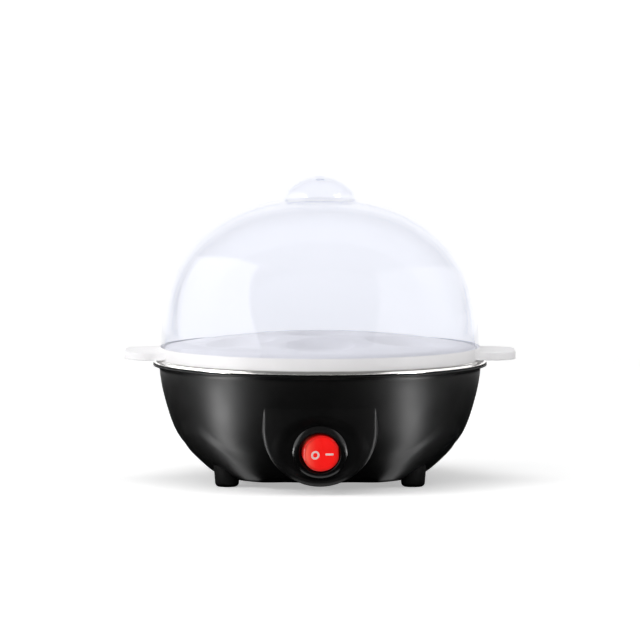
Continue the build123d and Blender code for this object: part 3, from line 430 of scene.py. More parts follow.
def object_noise(tree, scale, detail=3.0, roughness=0.5, stretch=(1, 1, 1)):
    """Noise on Object coordinates, stretched by a Mapping node."""
    mapping = tree.nodes.new("ShaderNodeMapping")
    mapping.inputs["Scale"].default_value = stretch
    noise = tree.nodes.new("ShaderNodeTexNoise")
    noise.inputs["Scale"].default_value = scale
    noise.inputs["Detail"].default_value = detail
    noise.inputs["Roughness"].default_value = roughness
    tree.links.new(object_spot(tree), mapping.inputs["Vector"])
    tree.links.new(mapping.outputs["Vector"], noise.inputs["Vector"])
    return noise.outputs["Fac"]


def tint_between(tree, shader, fac, dark, light):
    """Base colour that runs from dark to light over the middle of a noise."""
    ramp = tree.nodes.new("ShaderNodeValToRGB")
    for end, spot, colour in zip(ramp.color_ramp.elements, (0.35, 0.65), (dark, light)):
        end.position, end.color = spot, (*colour, 1)
    tree.links.new(fac, ramp.inputs["Fac"])
    tree.links.new(ramp.outputs["Color"], shader.inputs["Base Color"])


def rough_between(tree, shader, fac, low, high):
    """Roughness that runs from low to high over most of a noise."""
    tree.links.new(span_between(tree, fac, (0.3, 0.7), (low, high)), shader.inputs["Roughness"])


def bump_from(tree, shader, fac, strength, depth):
    """Bump by fac, depth metres high."""
    bump = tree.nodes.new("ShaderNodeBump")
    bump.inputs["Strength"].default_value = strength
    bump.inputs["Distance"].default_value = depth
    tree.links.new(fac, bump.inputs["Height"])
    tree.links.new(bump.outputs["Normal"], shader.inputs["Normal"])


def plastic(
    name, colour, roughness, grain=1400.0, depth=0.00002, spread=0.06, gloss=0.5, cloud=45.0
):
    """Moulded plastic: a faint cloudiness in its colour and gloss, and a fine grain."""
    material, tree, shader = node_material(name)
    shader.inputs["Specular IOR Level"].default_value = gloss
    dark = [max(0.0, c * (1 - spread)) for c in colour]
    light = [min(1.0, c * (1 + spread)) for c in colour]
    tint_between(tree, shader, object_noise(tree, cloud, 2.0), dark, light)
    patchy = object_noise(tree, cloud * 2.3, 4.0)
    rough_between(tree, shader, patchy, roughness * 0.92, roughness * 1.08)
    bump_from(tree, shader, object_noise(tree, grain, 2.0), 0.25, depth)
    return material


def metal(
    name, colour, roughness, stretch=(1, 1, 1), scale=900.0, spread=0.08, depth=0.00001
):
    """Metal with a fine drawn or rolled grain along its stretched direction."""
    material, tree, shader = node_material(name)
    shader.inputs["Metallic"].default_value = 1.0
    lines = object_noise(tree, scale, 3.0, 0.6, stretch)
    dark = [c * (1 - spread) for c in colour]
    light = [min(1, c * (1 + spread)) for c in colour]
    tint_between(tree, shader, lines, dark, light)
    rough_between(tree, shader, lines, roughness * 0.8, roughness * 1.25)
    bump_from(tree, shader, lines, 0.3, depth)
    return material


def dress(piece, material):
    """Puts one material on all of a piece's slots."""
    slots = piece.data.materials
    if len(slots) == 0:
        slots.append(material)
    for i in range(len(slots)):
        slots[i] = material


# Bowl

# the wall's line as (radius, height), and its slopes at both ends
BOWL_POINTS = np.array([(44.0, 3.6), (57.0, 12.2), (65.6, 21.4), (71.4, 35.2), (75.0, 52.8)]) * MM
BOWL_START, BOWL_END = (1, 0.2), (0.08, 1)
# the hollow under the lip, then the lip's thin edge and its roundings, in millimetres
COVE_R, COVE_MIDDLE = 2.37 * MM, np.array([77.37, 52.61]) * MM
LIP_EDGE = [(77.94, 54.95), (77.99, 55.25), (77.99, 55.8), (76.4, 55.8)]
LIP_ROUNDS = [0.1, 0.3]
# the fairings round the feet: how wide they are low and high, where they end, how thick they are
FLOOR, FOOT_RING, FOOT_TURNS = 3.6 * MM, 49.9 * MM, np.radians([-30.0, 90.0, 210.0])
FAIR_LOW, FAIR_HIGH = 26.0 * MM, 18.5 * MM
FAIR_TOP, FAIR_OUT = 32.0 * MM, 0.8 * MM
# the width of a fairing's soft edge, what it gains towards the front, and over which width
FAIR_SOFT, FAIR_GAIN, FAIR_TURN = 5.0 * MM, 15.0 * MM, 14 * MM
# the switch pad: its radius low and high, its top, half its width, the height of its round
# foot's middle, and its edge's rounding
PAD_FOOT, PAD_HEAD, PAD_HEAD_Z, PAD_TOP_Z = 68.0 * MM, 73.3 * MM, 44.0 * MM, 46.0 * MM
PAD_HALF, PAD_MIDDLE, PAD_ROUND = 26.6 * MM, 30.7 * MM, 1.9 * MM
# the bowl's skin is open behind the pad: how far inside its outline, and up to which height
PAD_LAP, OPEN_TOP = 4 * MM, 36 * MM
# the dish in the pad: half its width and height, the parts of them where it starts and ends, the
# least width of its side, and the least width of the pad round it
DISH_WIDE, DISH_HIGH, DISH_FOOT, DISH_RIM = 17.6 * MM, 13.3 * MM, 0.9, 1.3
DISH_SIDE, DISH_FREE = 1.3 * MM, 0.2 * MM
# the switch's seat, and the directions out of it and up along it
SEAT_Z, SEAT_DEPTH, SEAT_HOLE = 20.0 * MM, 2.1 * MM, 10.2 * MM
LEAN = math.atan2(PAD_HEAD - PAD_FOOT, PAD_HEAD_Z - FLOOR)
OUT = np.array([0.0, -math.cos(LEAN), -math.sin(LEAN)])
UP = np.array([0.0, -math.sin(LEAN), math.cos(LEAN)])
RIGHT = np.array([1.0, 0.0, 0.0])
SEAT_FACE = PAD_FOOT + math.tan(LEAN) * (SEAT_Z - FLOOR)
SEAT = np.array([0.0, -(SEAT_FACE - SEAT_DEPTH), SEAT_Z])
# the round pad of the cord's hole at the rear: its middle and its radius
CORD_X, CORD_Z, CORD_PAD_R = 24 * MM, 25 * MM, 9.8 * MM
# which packed faces the skins stand for: how deep under the wall's line and under the pad's cone
# they may lie, and the height from which the lip's flat top stays
UNDER_WALL, UNDER_PAD, LIP_Z = 0.4 * MM, 3.4 * MM, 55.75 * MM


def bowl_line():
    """The bowl's wall as points (radius, height)."""
    return smooth_line(BOWL_POINTS, BOWL_START, BOWL_END, 110)


def pad_radius(z):
    """Radius of the pad's cone at a height."""
    return PAD_FOOT + math.tan(LEAN) * (z - FLOOR)


def soft_step(x):
    """0 below 0, 1 above 1, and a smooth cubic between."""
    x = np.clip(x, 0, 1)
    return x * x * (3 - 2 * x)


def bowl_skin(skin):
    """The bowl's outside: its profile line turned about +Z and pushed out along its normal.

    Near each foot the push grows by the fairing's thickness, with a soft edge
    where the fairing's cone leaves the bowl, softer still towards the front.
    """
    line = bowl_line()
    normal = -left_of(line)
    turn = full_turn(720)
    r, z = line[:, :1], line[:, 1:]
    push = np.full((len(line), len(turn)), skin)
    for foot in FOOT_TURNS:
        dx = r * np.cos(turn) - FOOT_RING * np.cos(foot)
        dy = r * np.sin(turn) - FOOT_RING * np.sin(foot)
        edge = FAIR_LOW + (FAIR_HIGH - FAIR_LOW) * (z - FLOOR) / (FAIR_TOP - FLOOR)
        inside = np.minimum(edge - np.hypot(dx, dy), FAIR_TOP - z)
        inner = soft_step((abs(FOOT_RING * np.cos(foot)) - np.abs(r * np.cos(turn))) / FAIR_TURN)
        push = push + FAIR_OUT * soft_step(inside / (FAIR_SOFT + FAIR_GAIN * inner) + 0.5)
    rr = r + normal[:, :1] * push
    zz = z + normal[:, 1:] * push
    wall = np.stack([rr * np.cos(turn), rr * np.sin(turn), zz], -1)
    # under the lip a hollow arc leaves the wall and ends at the lip's thin edge
    bend = np.radians(np.linspace(175, 76, 14))
    cove = COVE_MIDDLE + (COVE_R - skin) * np.stack([np.cos(bend), np.sin(bend)], -1)
    tip = rounded(LIP_EDGE, LIP_ROUNDS) * MM
    rows = np.concatenate([wall, lathe_rows(cove[1:], 720), lathe_rows(tip[1:], 720)])
    return ring_sheet("bowl_skin", rows, gap=behind_pad)


def behind_pad(spot):
    """True well inside the pad's outline and under the line where the pad rises from the bowl."""
    x, y, z = spot.T
    half = PAD_HALF - PAD_LAP
    under_head = (np.abs(x) < half) & (z < OPEN_TOP)
    return (y < 0) & under_head & ((z > PAD_MIDDLE) | (np.hypot(x, z - PAD_MIDDLE) < half))


def pad_outline(angle):
    """Where a ray from the switch's middle at that angle leaves the pad's outline, in X and Z.

    Above the middle of its round foot the outline is two upright sides under a
    flat head; below it is a half circle.
    """
    c, s = np.cos(angle), np.sin(angle)
    head = PAD_TOP_Z - SEAT_Z
    with np.errstate(divide="ignore", invalid="ignore"):
        to_head = np.where(s > 1e-9, head / s, np.inf)
        to_side = np.where(np.abs(c) > 1e-9, PAD_HALF / np.abs(c), np.inf)
    drop = PAD_MIDDLE - SEAT_Z
    to_round = drop * s + np.sqrt((drop * s) ** 2 - drop**2 + PAD_HALF**2)
    reach = np.minimum(to_head, to_side)
    below = SEAT_Z + to_round * s < PAD_MIDDLE
    return np.where(below, to_round, reach)


def pad_skin(skin):
    """The switch pad: rings from the switch's hole out over the dish to the U-shaped outline.

    The dish's floor is flat, the pad lies on the cone of its slope, and between
    them the rings run from one to the other along a smooth cubic. Past the
    outline a quarter round turns the surface back towards the bowl.
    """
    turn = full_turn(480)
    c, s = np.cos(turn), np.sin(turn)
    reach = pad_outline(turn)
    flat_end = reach - PAD_ROUND
    dish = 1 / np.hypot(c / DISH_WIDE, s / DISH_HIGH)
    rim = np.minimum(DISH_RIM * dish, flat_end - DISH_FREE)
    foot = np.minimum(DISH_FOOT * dish, rim - DISH_SIDE)

    def on_floor(d):
        """The ring on the dish's floor at the distances d from the switch's middle."""
        across, along = np.outer(d * c, RIGHT), np.outer(d * s / math.cos(LEAN), UP)
        return SEAT + across + along + skin * OUT

    def on_pad(d, lift):
        """The ring on the pad's cone at the distances d, lifted out of it."""
        x, z = d * c, SEAT_Z + d * s
        r = pad_radius(z) + lift
        return np.stack([x, -np.sqrt(np.maximum(r * r - x * x, 0)), z], -1)

    rows = [on_floor(d) for d in np.linspace(np.full(len(turn), SEAT_HOLE), foot, 6)]
    for t in np.linspace(0, 1, 25)[1:]:
        d = foot + (rim - foot) * t
        climb = soft_step(t)
        rows.append((1 - climb) * on_floor(d) + climb * on_pad(d, skin))
    for t in np.linspace(0, 1, 14)[1:]:
        rows.append(on_pad(rim + (flat_end - rim) * t, skin))
    for a in np.radians(np.linspace(0, 90, 9))[1:]:
        sink = PAD_ROUND * (1 - math.cos(a))
        rows.append(on_pad(flat_end + (PAD_ROUND + skin) * math.sin(a), skin - sink))
    edge = rows[-1]
    for back in (6.0, 14.0, 24.0):
        row = edge.copy()
        row[:, 1] += back * MM
        rows.append(row)
    return ring_sheet("pad_skin", np.array(rows))


def housing_core():
    """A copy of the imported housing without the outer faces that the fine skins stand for.

    A face is left out where it looks outwards and lies on the bowl's wall, the
    lip's edge or the pad; the cord's round pad stays.
    """
    made = fine_copy("housing", "housing_core", "base")
    x, y, z = of_faces(made, "center").T
    face_x, face_y, _ = of_faces(made, "normal").T
    r = np.hypot(x, y)
    outward = face_x * x + face_y * y > 0.05 * r
    line = bowl_line()
    wall = np.interp(z, line[:, 1], line[:, 0])
    on_wall = r > wall - UNDER_WALL
    near_pad = (y < 0) & (np.abs(x) < PAD_HALF + 1 * MM) & (z < PAD_HEAD_Z + 2 * MM)
    on_pad = near_pad & (r > pad_radius(z) - UNDER_PAD)
    entry = (y > 0) & (np.hypot(x - CORD_X, z - CORD_Z) < CORD_PAD_R) & (r > wall + 0.3 * MM)
    between = (z > FLOOR + 0.2 * MM) & (z < LIP_Z)
    return without_faces(made, outward & (on_wall | on_pad) & ~entry & between)


class EGGCOOKER_OT_bowl(bpy.types.Operator):
    """Lays the fine skins of the bowl and its switch pad, and gives the housing its plastic"""

    bl_idname = "egg_cooker.bowl"
    bl_label = "Bowl"

    def execute(self, context):
        sizes = context.scene.egg_bowl
        shell = plastic(
            "bowl_plastic", sizes.colour, sizes.roughness,
            grain=2600.0, depth=0.000008, spread=0.15, gloss=0.18,
        )
        for made in (bowl_skin(sizes.skin), pad_skin(sizes.skin)):
            dress(made, shell)
            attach(made, "base")
        core = housing_core()
        dress(core, shell)
        return {"FINISHED"}


class EGGCOOKER_OT_feet(bpy.types.Operator):
    """Gives the three feet their rubber, and the cord's bushing its plastic"""

    bl_idname = "egg_cooker.feet"
    bl_label = "Feet"

    def execute(self, context):
        rubber = plastic(
            "foot_rubber", context.scene.egg_bowl.foot_colour, 0.62,
            grain=900.0, depth=0.00004, spread=0.2, gloss=0.06,
        )
        for node in ("foot_left", "foot_right", "foot_rear"):
            made = fine_copy(node, node + "_rubber", "base")
            dress(made, rubber)
        made = fine_copy("cord_bushing", "cord_bushing_plastic", "base")
        dress(
            made,
            plastic("bushing_plastic", (0.012, 0.012, 0.012), 0.5, 1500.0, spread=0.2, gloss=0.4),
        )
        return {"FINISHED"}


# Pan

# the sheet's underside as (radius, height), its bends and its thickness, in millimetres
PAN_LINE = [
    (0.0, 36.2), (32.0, 36.2), (35.0, 37.7), (66.0, 37.7), (70.8, 57.2), (75.9, 57.2), (77.1, 55.8),
]
PAN_BENDS = [1.5, 1.5, 8.0, 0.8, 0.8]
PAN_SHEET = 0.8


def pan_profile():
    """The pan's underside with rounded bends, and its upper side one thickness along the normal."""
    lower = rounded(PAN_LINE, PAN_BENDS, 8)
    return lower * MM, (lower + PAN_SHEET * left_of(lower)) * MM


class EGGCOOKER_OT_pan(bpy.types.Operator):
    """Turns the pressed heating pan from its rounded sheet profile and gives it its steel"""

    bl_idname = "egg_cooker.pan"
    bl_label = "Heating pan"

    def execute(self, context):
        lower, upper = pan_profile()
        profile = np.vstack([upper[1:], lower[1:][::-1]])
        rows = lathe_rows(profile, 300)
        made = ring_sheet("pan_sheet", rows, pole_start=True, pole_end=True, flip=True)
        steel = metal(
            "pan_steel", (0.74, 0.73, 0.71), 0.2,
            stretch=(1, 1, 6), scale=220.0, spread=0.05, depth=0.000004,
        )
        dress(made, steel)
        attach(made, "base")
        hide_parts("heating_pan")
        return {"FINISHED"}


# Tray


class EGGCOOKER_OT_tray(bpy.types.Operator):
    """Joins and smooths the egg tray and gives it its white plastic"""

    bl_idname = "egg_cooker.tray"
    bl_label = "Egg tray"

    def execute(self, context):
        made = fine_copy("egg_tray", "egg_tray_plastic", "tray")
        white = plastic(
            "tray_plastic", context.scene.egg_tray.colour, 0.5,
            grain=1800.0, depth=0.00001, spread=0.03, gloss=0.2, cloud=28.0,
        )
        dress(made, white)
        return {"FINISHED"}


# Dome

LID_R, LID_WALL = 74.1 * MM, 1.7 * MM
LEDGE_Z, SHOULDER_Z, DOME_TOP = 62.9 * MM, 66.0 * MM, 133.4 * MM
# the power of the side's superellipse, and the radii at which the knob and its vent start
FULLNESS, KNOB_FOOT, VENT_R = 2.3, 18.2 * MM, 1.5 * MM
KNOB = np.array([(17.4, 134.8), (14.2, 139.0), (9.3, 142.0), (3.8, 143.4), (0.0, 142.6)]) * MM


def dome_side(depth, count=90):
    """The dome's side from its shoulder to the knob's foot.

    It is a quarter of a superellipse: both axes shrink by depth, and the power
    of each is two over the fullness.
    """
    reach = math.acos((KNOB_FOOT / LID_R) ** (FULLNESS / 2))
    turn = np.linspace(0, 1, count) ** 1.6 * reach
    return np.stack(
        [
            (LID_R - depth) * np.cos(turn) ** (2 / FULLNESS),
            SHOULDER_Z + (DOME_TOP - SHOULDER_Z - depth) * np.sin(turn) ** (2 / FULLNESS),
        ],
        -1,
    )


def dome_profile():
    """The lid's outline from its vent out over the knob, down, and back up inside."""
    side = dome_side(0.0)
    knob = smooth_line(np.vstack([side[-1], KNOB]), (-0.15, 1), (-1, 0), 50)
    inner_side = dome_side(LID_WALL)
    inner_knob = knob + LID_WALL * left_of(knob)
    keep = (inner_knob[:, 0] > VENT_R) & (inner_knob[:, 1] > inner_side[-1, 1])
    inner_knob = inner_knob[keep]
    outer_knob = knob[knob[:, 0] > VENT_R]
    inside = LID_R - LID_WALL
    foot = rounded(
        [(LID_R, SHOULDER_Z), (LID_R, LEDGE_Z), (inside, LEDGE_Z), (inside, SHOULDER_Z)],
        [0.5 * MM, 0.5 * MM],
    )
    return np.vstack([outer_knob[::-1], side[:-1][::-1], foot[1:-1], inner_side, inner_knob])


def clear_plastic(name, sizes):
    """Clear plastic: tinted, with a cloudy haze, and a mirror that grows edge on."""
    material, tree, surface = bare_material(name)
    through = tree.nodes.new("ShaderNodeBsdfTransparent")
    through.inputs["Color"].default_value = (*sizes.tint, 1)
    milk = tree.nodes.new("ShaderNodeBsdfDiffuse")
    milk.inputs["Color"].default_value = (*sizes.haze_colour, 1)
    mirror = tree.nodes.new("ShaderNodeBsdfGlossy")
    mirror.inputs["Roughness"].default_value = 0.04
    cloudy = (sizes.haze * 0.7, sizes.haze * 1.3)
    hides = span_between(tree, object_noise(tree, 26.0, 3.0), (0.3, 0.7), cloudy)
    body = mixed(tree, hides, through.outputs["BSDF"], milk.outputs["BSDF"])
    facing = tree.nodes.new("ShaderNodeLayerWeight")
    facing.inputs["Blend"].default_value = 0.5
    edge_on = worked_out(tree, "POWER", facing.outputs["Facing"], 5.0)
    mirrors = span_between(tree, edge_on, (0.0, 1.0), (sizes.shine, 0.3))
    tree.links.new(mixed(tree, mirrors, body, mirror.outputs["BSDF"]), surface)
    return material


class EGGCOOKER_OT_dome(bpy.types.Operator):
    """Turns the clear dome lid with its knob and gives it its clear plastic"""

    bl_idname = "egg_cooker.dome"
    bl_label = "Dome lid"

    def execute(self, context):
        rows = lathe_rows(dome_profile(), 320)
        made = ring_sheet("dome_shell", rows, closed_rows=True, flip=True)
        dress(made, clear_plastic("dome_clear", context.scene.egg_dome))
        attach(made, "lid")
        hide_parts("lid")
        return {"FINISHED"}


# Switch

# the rocker: its pin, how far it is tipped at rest, the height of its valley and the slope of its
# face, its radius, and the radius of its round ends
PIVOT, TILT = SEAT - 1.0 * MM * OUT, math.radians(10.0)
VALLEY, RISE = 3.3 * MM, (4.6 - 3.3) / 8.45
ROCKER_R, ROCKER_SIDE = 8.45 * MM, 8.9 * MM
# its rounded edge, its wall, the height of its foot and of the face inside, and the web's radius
ROCKER_EDGE, ROCKER_WALL = 0.45 * MM, 1.2 * MM
ROCKER_FOOT, ROCKER_INSIDE, WEB_R = -2.6 * MM, 1.4 * MM, 2.3 * MM
# the printed marks: how far they stand out and reach in, the ring's middle, and the bar's
# middle and half its length and width
MARK_LIFT, MARK_SINK = 0.05 * MM, 0.02 * MM
RING_U, RING_V = -2.85 * MM, -0.6 * MM
BAR_U, BAR_V, BAR_LONG, BAR_THIN = 3.75 * MM, -0.45 * MM, 1.85 * MM, 0.48 * MM
# the bezel's outline as (radius, height over the seat), and its roundings, in millimetres
BEZEL_LINE = [
    (9.1, -1.3), (9.1, 1.5), (9.75, 2.2), (11.4, 1.95), (12.65, 0.75), (12.65, -0.05), (9.1, -1.35),
]
BEZEL_BENDS = [0.2, 0.3, 3.8, 0.5, 0.05]
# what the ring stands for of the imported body: from which height over the seat, and which radius
BEZEL_LOW, BEZEL_IN = 0.02 * MM, 9.0 * MM
# the lamp's red glow across the rocker, from its left to its right, with a painted highlight in
# orange towards its left and painted shade at both ends
LAMP_GLOW_WITH_PAINTED_LIGHT = (
    (0.0, (0.4, 0.006, 0.004, 1)),
    (0.13, (1.0, 0.27, 0.18, 1)),
    (0.26, (1.0, 0.09, 0.06, 1)),
    (0.38, (1.0, 0.022, 0.013, 1)),
    (0.52, (1.0, 0.007, 0.004, 1)),
    (0.85, (1.0, 0.008, 0.005, 1)),
    (1.0, (0.6, 0.006, 0.004, 1)),
)


def on_rocker(u, v, w):
    """From the level rocker's right, up and out to the frame, tipped about its pin."""
    right = u * math.cos(TILT) + w * math.sin(TILT)
    out = -u * math.sin(TILT) + w * math.cos(TILT)
    return PIVOT + right[..., None] * RIGHT + v[..., None] * UP + out[..., None] * OUT


def rocker_top(u):
    """Height of the rocker's face: two slopes that meet in a round valley, between round ends."""
    bend = math.atan(RISE)
    middle = VALLEY + ROCKER_SIDE / math.cos(bend)
    half, away = ROCKER_SIDE * math.sin(bend), np.abs(u)
    valley = middle - np.sqrt(ROCKER_SIDE**2 - np.minimum(away, half) ** 2)
    face = np.where(away < half, valley, VALLEY + RISE * away)
    ends = np.sqrt(np.maximum(ROCKER_SIDE**2 - u * u, 0))
    return np.minimum(face, ends)


def rocker_cap():
    """The rocker: rings from the middle of its face, round its edge, down and back inside."""
    turn = full_turn(200)
    c, s = np.cos(turn), np.sin(turn)
    flat = ROCKER_R - ROCKER_EDGE
    rows = []
    for r in flat * np.linspace(0.02, 1, 34):
        rows.append(on_rocker(r * c, r * s, rocker_top(r * c)))
    base = rocker_top(flat * c) - ROCKER_EDGE
    for a in np.radians(np.linspace(0, 90, 7))[1:]:
        r = flat + ROCKER_EDGE * math.sin(a)
        top = np.minimum(base + ROCKER_EDGE * math.cos(a), rocker_top(r * c))
        rows.append(on_rocker(r * c, r * s, top))
    head = np.minimum(base, rocker_top(ROCKER_R * c))
    foot, inside = np.full(len(turn), ROCKER_FOOT), np.full(len(turn), ROCKER_INSIDE)
    for t in (0.33, 0.66, 1.0):
        rows.append(on_rocker(ROCKER_R * c, ROCKER_R * s, head * (1 - t) + foot * t))
    inner = ROCKER_R - ROCKER_WALL
    for r, w in ((inner, foot), (inner, inside), (WEB_R, inside)):
        rows.append(on_rocker(r * c, r * s, w))
    return ring_sheet("rocker_cap", np.array(rows), pole_start=True, pole_end=True, flip=True)


def on_face(u, v, part):
    """On the rocker's face: part runs from 0, sunk in it, to 1, where a printed mark's top is."""
    return on_rocker(u, v, rocker_top(u) - MARK_SINK + (MARK_LIFT + MARK_SINK) * part)


def ring_mark():
    """The ring mark: circles between two radii, laid on the rocker's face."""
    turn = full_turn(64)
    rows = []
    for r, part in ((1.08, 0), (1.08, 1), (1.3, 1), (1.55, 1), (1.8, 1), (2.02, 1), (2.02, 0)):
        rows.append(on_face(RING_U + r * MM * np.cos(turn), RING_V + r * MM * np.sin(turn), part))
    return ring_sheet("mark_ring", np.array(rows), closed_rows=True, flip=True)


def bar_mark():
    """The bar mark: superellipses that shrink to its middle, laid on the rocker's face."""
    turn = full_turn(48)
    c, s = np.cos(turn), np.sin(turn)
    across, along = np.sign(c) * np.abs(c) ** 0.35, np.sign(s) * np.abs(s) ** 0.35
    rows = []
    for k, part in ((1.0, 0), (1.0, 1), (0.66, 1), (0.33, 1), (0.02, 1)):
        rows.append(on_face(BAR_U + k * BAR_LONG * across, BAR_V + k * BAR_THIN * along, part))
    rows.insert(0, rows[0] * 0.98 + rows[0].mean(0) * 0.02)
    return ring_sheet("mark_bar", np.array(rows), pole_start=True, pole_end=True, flip=True)


def switch_core():
    """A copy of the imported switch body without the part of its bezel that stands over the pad."""
    made = fine_copy("switch_body", "switch_core", "base")
    spot = of_faces(made, "center") - SEAT
    out = spot @ OUT
    aside = np.linalg.norm(spot - np.outer(out, OUT), axis=1)
    return without_faces(made, (out > BEZEL_LOW) & (aside > BEZEL_IN))


def bezel_ring():
    """The bezel: its outline, flat within and well rounded outside, turned about its axis."""
    outline = rounded(BEZEL_LINE, BEZEL_BENDS, 10)[:-1] * MM
    turn = full_turn(220)
    circle = np.outer(np.cos(turn), RIGHT) + np.outer(np.sin(turn), UP)
    rows = SEAT + outline[:, None, :1] * circle[None] + outline[:, None, 1:] * OUT
    return ring_sheet("bezel_ring", rows, closed_rows=True)


def glow_with_painted_light(tree, shader, strength):
    """The lamp's red glow behind the rocker, with a painted highlight in orange at its left, red
    elsewhere, and painted shade that makes it weak at its rim.
    """
    spot = object_spot(tree)
    across = span_between(tree, parts_of(tree, spot)["X"], (-ROCKER_R, ROCKER_R), (0.0, 1.0))
    ramp = tree.nodes.new("ShaderNodeValToRGB")
    steps = ramp.color_ramp.elements
    steps[0].color, steps[1].color = LAMP_GLOW_WITH_PAINTED_LIGHT[0][1], LAMP_GLOW_WITH_PAINTED_LIGHT[-1][1]
    for part, colour in LAMP_GLOW_WITH_PAINTED_LIGHT[1:-1]:
        steps.new(part).color = colour
    tree.links.new(across, ramp.inputs["Fac"])
    tree.links.new(ramp.outputs["Color"], shader.inputs["Emission Color"])
    away = tree.nodes.new("ShaderNodeVectorMath")
    away.operation = "DISTANCE"
    away.inputs[1].default_value = on_rocker(np.zeros(1), np.zeros(1), np.full(1, VALLEY))[0]
    tree.links.new(spot, away.inputs[0])
    # painted shade: the glow fades to a tenth towards the rocker's rounded rim
    rim = (0.8 * ROCKER_R, 1.03 * ROCKER_R)
    light = span_between(tree, away.outputs["Value"], rim, (strength, 0.12 * strength), True)
    tree.links.new(light, shader.inputs["Emission Strength"])


class EGGCOOKER_OT_switch(bpy.types.Operator):
    """Makes the round switch: its bezel, the red rocker and the marks printed on it"""

    bl_idname = "egg_cooker.switch"
    bl_label = "Switch"

    def execute(self, context):
        sizes = context.scene.egg_switch
        black = plastic(
            "bezel_plastic", (0.002, 0.002, 0.0021), 0.24,
            grain=2000.0, depth=0.000006, spread=0.15, gloss=0.32,
        )
        bezel = bezel_ring()
        dress(bezel, black)
        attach(bezel, "base")
        core = switch_core()
        dress(core, black)

        red, tree, shader = node_material("rocker_plastic")
        shader.inputs["Specular IOR Level"].default_value = 0.3
        dark = [c * 0.92 for c in sizes.rocker_colour]
        light = [min(1, c * 1.06) for c in sizes.rocker_colour]
        tint_between(tree, shader, object_noise(tree, 260.0, 2.0), dark, light)
        grained = object_noise(tree, 1800.0, 2.0)
        rough_between(tree, shader, grained, 0.2, 0.27)
        bump_from(tree, shader, grained, 0.2, 0.000008)
        # the lamp's glow, with a painted highlight at the rocker's left and painted shade at its
        # ends and rim
        glow_with_painted_light(tree, shader, sizes.glow)
        cap = rocker_cap()
        dress(cap, red)
        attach(cap, "rocker")
        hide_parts("rocker")

        print_white = plastic(
            "mark_print", sizes.mark_colour, 0.45,
            grain=2000.0, depth=0.000005, spread=0.05, gloss=0.4,
        )
        for mark in (ring_mark(), bar_mark()):
            dress(mark, print_white)
            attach(mark, "rocker")
        return {"FINISHED"}


# Inner parts


class EGGCOOKER_OT_inner(bpy.types.Operator):
    """Gives the pieces inside the housing and the switch their metals, plastics and wires"""

    bl_idname = "egg_cooker.inner"
    bl_label = "Inner pieces"

    def execute(self, context):
        plated = metal("plated_steel", (0.62, 0.62, 0.6), 0.32)
        brass = metal("sheet_brass", (0.74, 0.55, 0.27), 0.3, stretch=(1, 1, 5))
        cast = metal(
            "cast_aluminium", (0.66, 0.66, 0.67), 0.48, scale=420.0, spread=0.1, depth=0.00004
        )
        tube = metal("tube_aluminium", (0.72, 0.72, 0.73), 0.3, stretch=(1, 1, 4))
        moulded = plastic("inner_moulding", (0.02, 0.02, 0.021), 0.5, 1500.0, spread=0.2, gloss=0.4)
        ivory = plastic("block_moulding", (0.72, 0.7, 0.62), 0.5, 1300.0, spread=0.05, gloss=0.4)
        finishes = {
            plated: (
                "base_screws", "pan_bushes", "thermostat_strap", "strap_screws", "fuse_clip",
                "thermal_fuse", "earth_stud", "earth_nut", "block_screws", "rocker_spring",
                "element_tabs",
            ),
            brass: ("thermostat_tabs", "earth_tag", "contact_blade", "switch_tabs"),
            cast: ("heater_plate",),
            tube: ("heating_element",),
            moulded: ("thermostat", "rocker_plunger"),
            ivory: ("terminal_block",),
        }
        for finish, names in finishes.items():
            for node in names:
                dress(NODES[node], finish)
        brown = ("wire_live", "wire_switched", "wire_fused", "wire_heater")
        sleeves = {
            "brown_insulation": ((0.16, 0.055, 0.025), brown),
            "blue_insulation": ((0.02, 0.09, 0.36), ("wire_lamp", "wire_neutral")),
            "green_insulation": ((0.12, 0.34, 0.04), ("wire_earth",)),
        }
        for name, (colour, names) in sleeves.items():
            finish = plastic(name, colour, 0.42, 1600.0, spread=0.12, gloss=0.45)
            for node in names:
                dress(NODES[node], finish)
        glass, tree, shader = node_material("lamp_glass")
        cloudy = object_noise(tree, 500.0, 2.0)
        tint_between(tree, shader, cloudy, (0.9, 0.5, 0.3), (1.0, 0.7, 0.5))
        shader.inputs["Roughness"].default_value = 0.05
        shader.inputs["Alpha"].default_value = 0.5
        dress(NODES["neon_lamp"], glass)
        return {"FINISHED"}


# Stage

# the sheet: half its width, its front edge, where its bend starts, the bend's radius and its top
SHEET_HALF, SHEET_FRONT, SHEET_FLAT, SHEET_BEND, SHEET_TOP = 1.0, -1.2, 1.4, 0.5, 1.2
# the far round wall: where its floor starts, its radius, and the heights of its foot and top
FAR_START, FAR_REACH, FAR_FOOT, FAR_TOP = 0.9, 2.3, -1 * MM, 2.0
# how much the sheet glows where it is seen, near the cooker and far back, and between which Y
SHEET_GLOW, SHEET_SPAN = (0.4, 0.7), (0.2, 1.6)
# side screens for the dome: (turn, rise) of their inner foot, inner head, outer head and outer
# foot, and their glow
PANELS = {
    "panel_left": (((-42, 0), (-70, 54), (-140, 26), (-120, -2)), 3.0),
    "panel_right": (((37, 0), (56, 51), (147, 16), (120, -2)), 1.65),
}
PANEL_AWAY, PANEL_BULGE = 1.1, 7
# the ring behind the dome: the angles from the rear between which it lies, its distance and glow
REAR_SPREAD, REAR_AWAY, REAR_GLOW = (12, 37), 1.15, 2.0
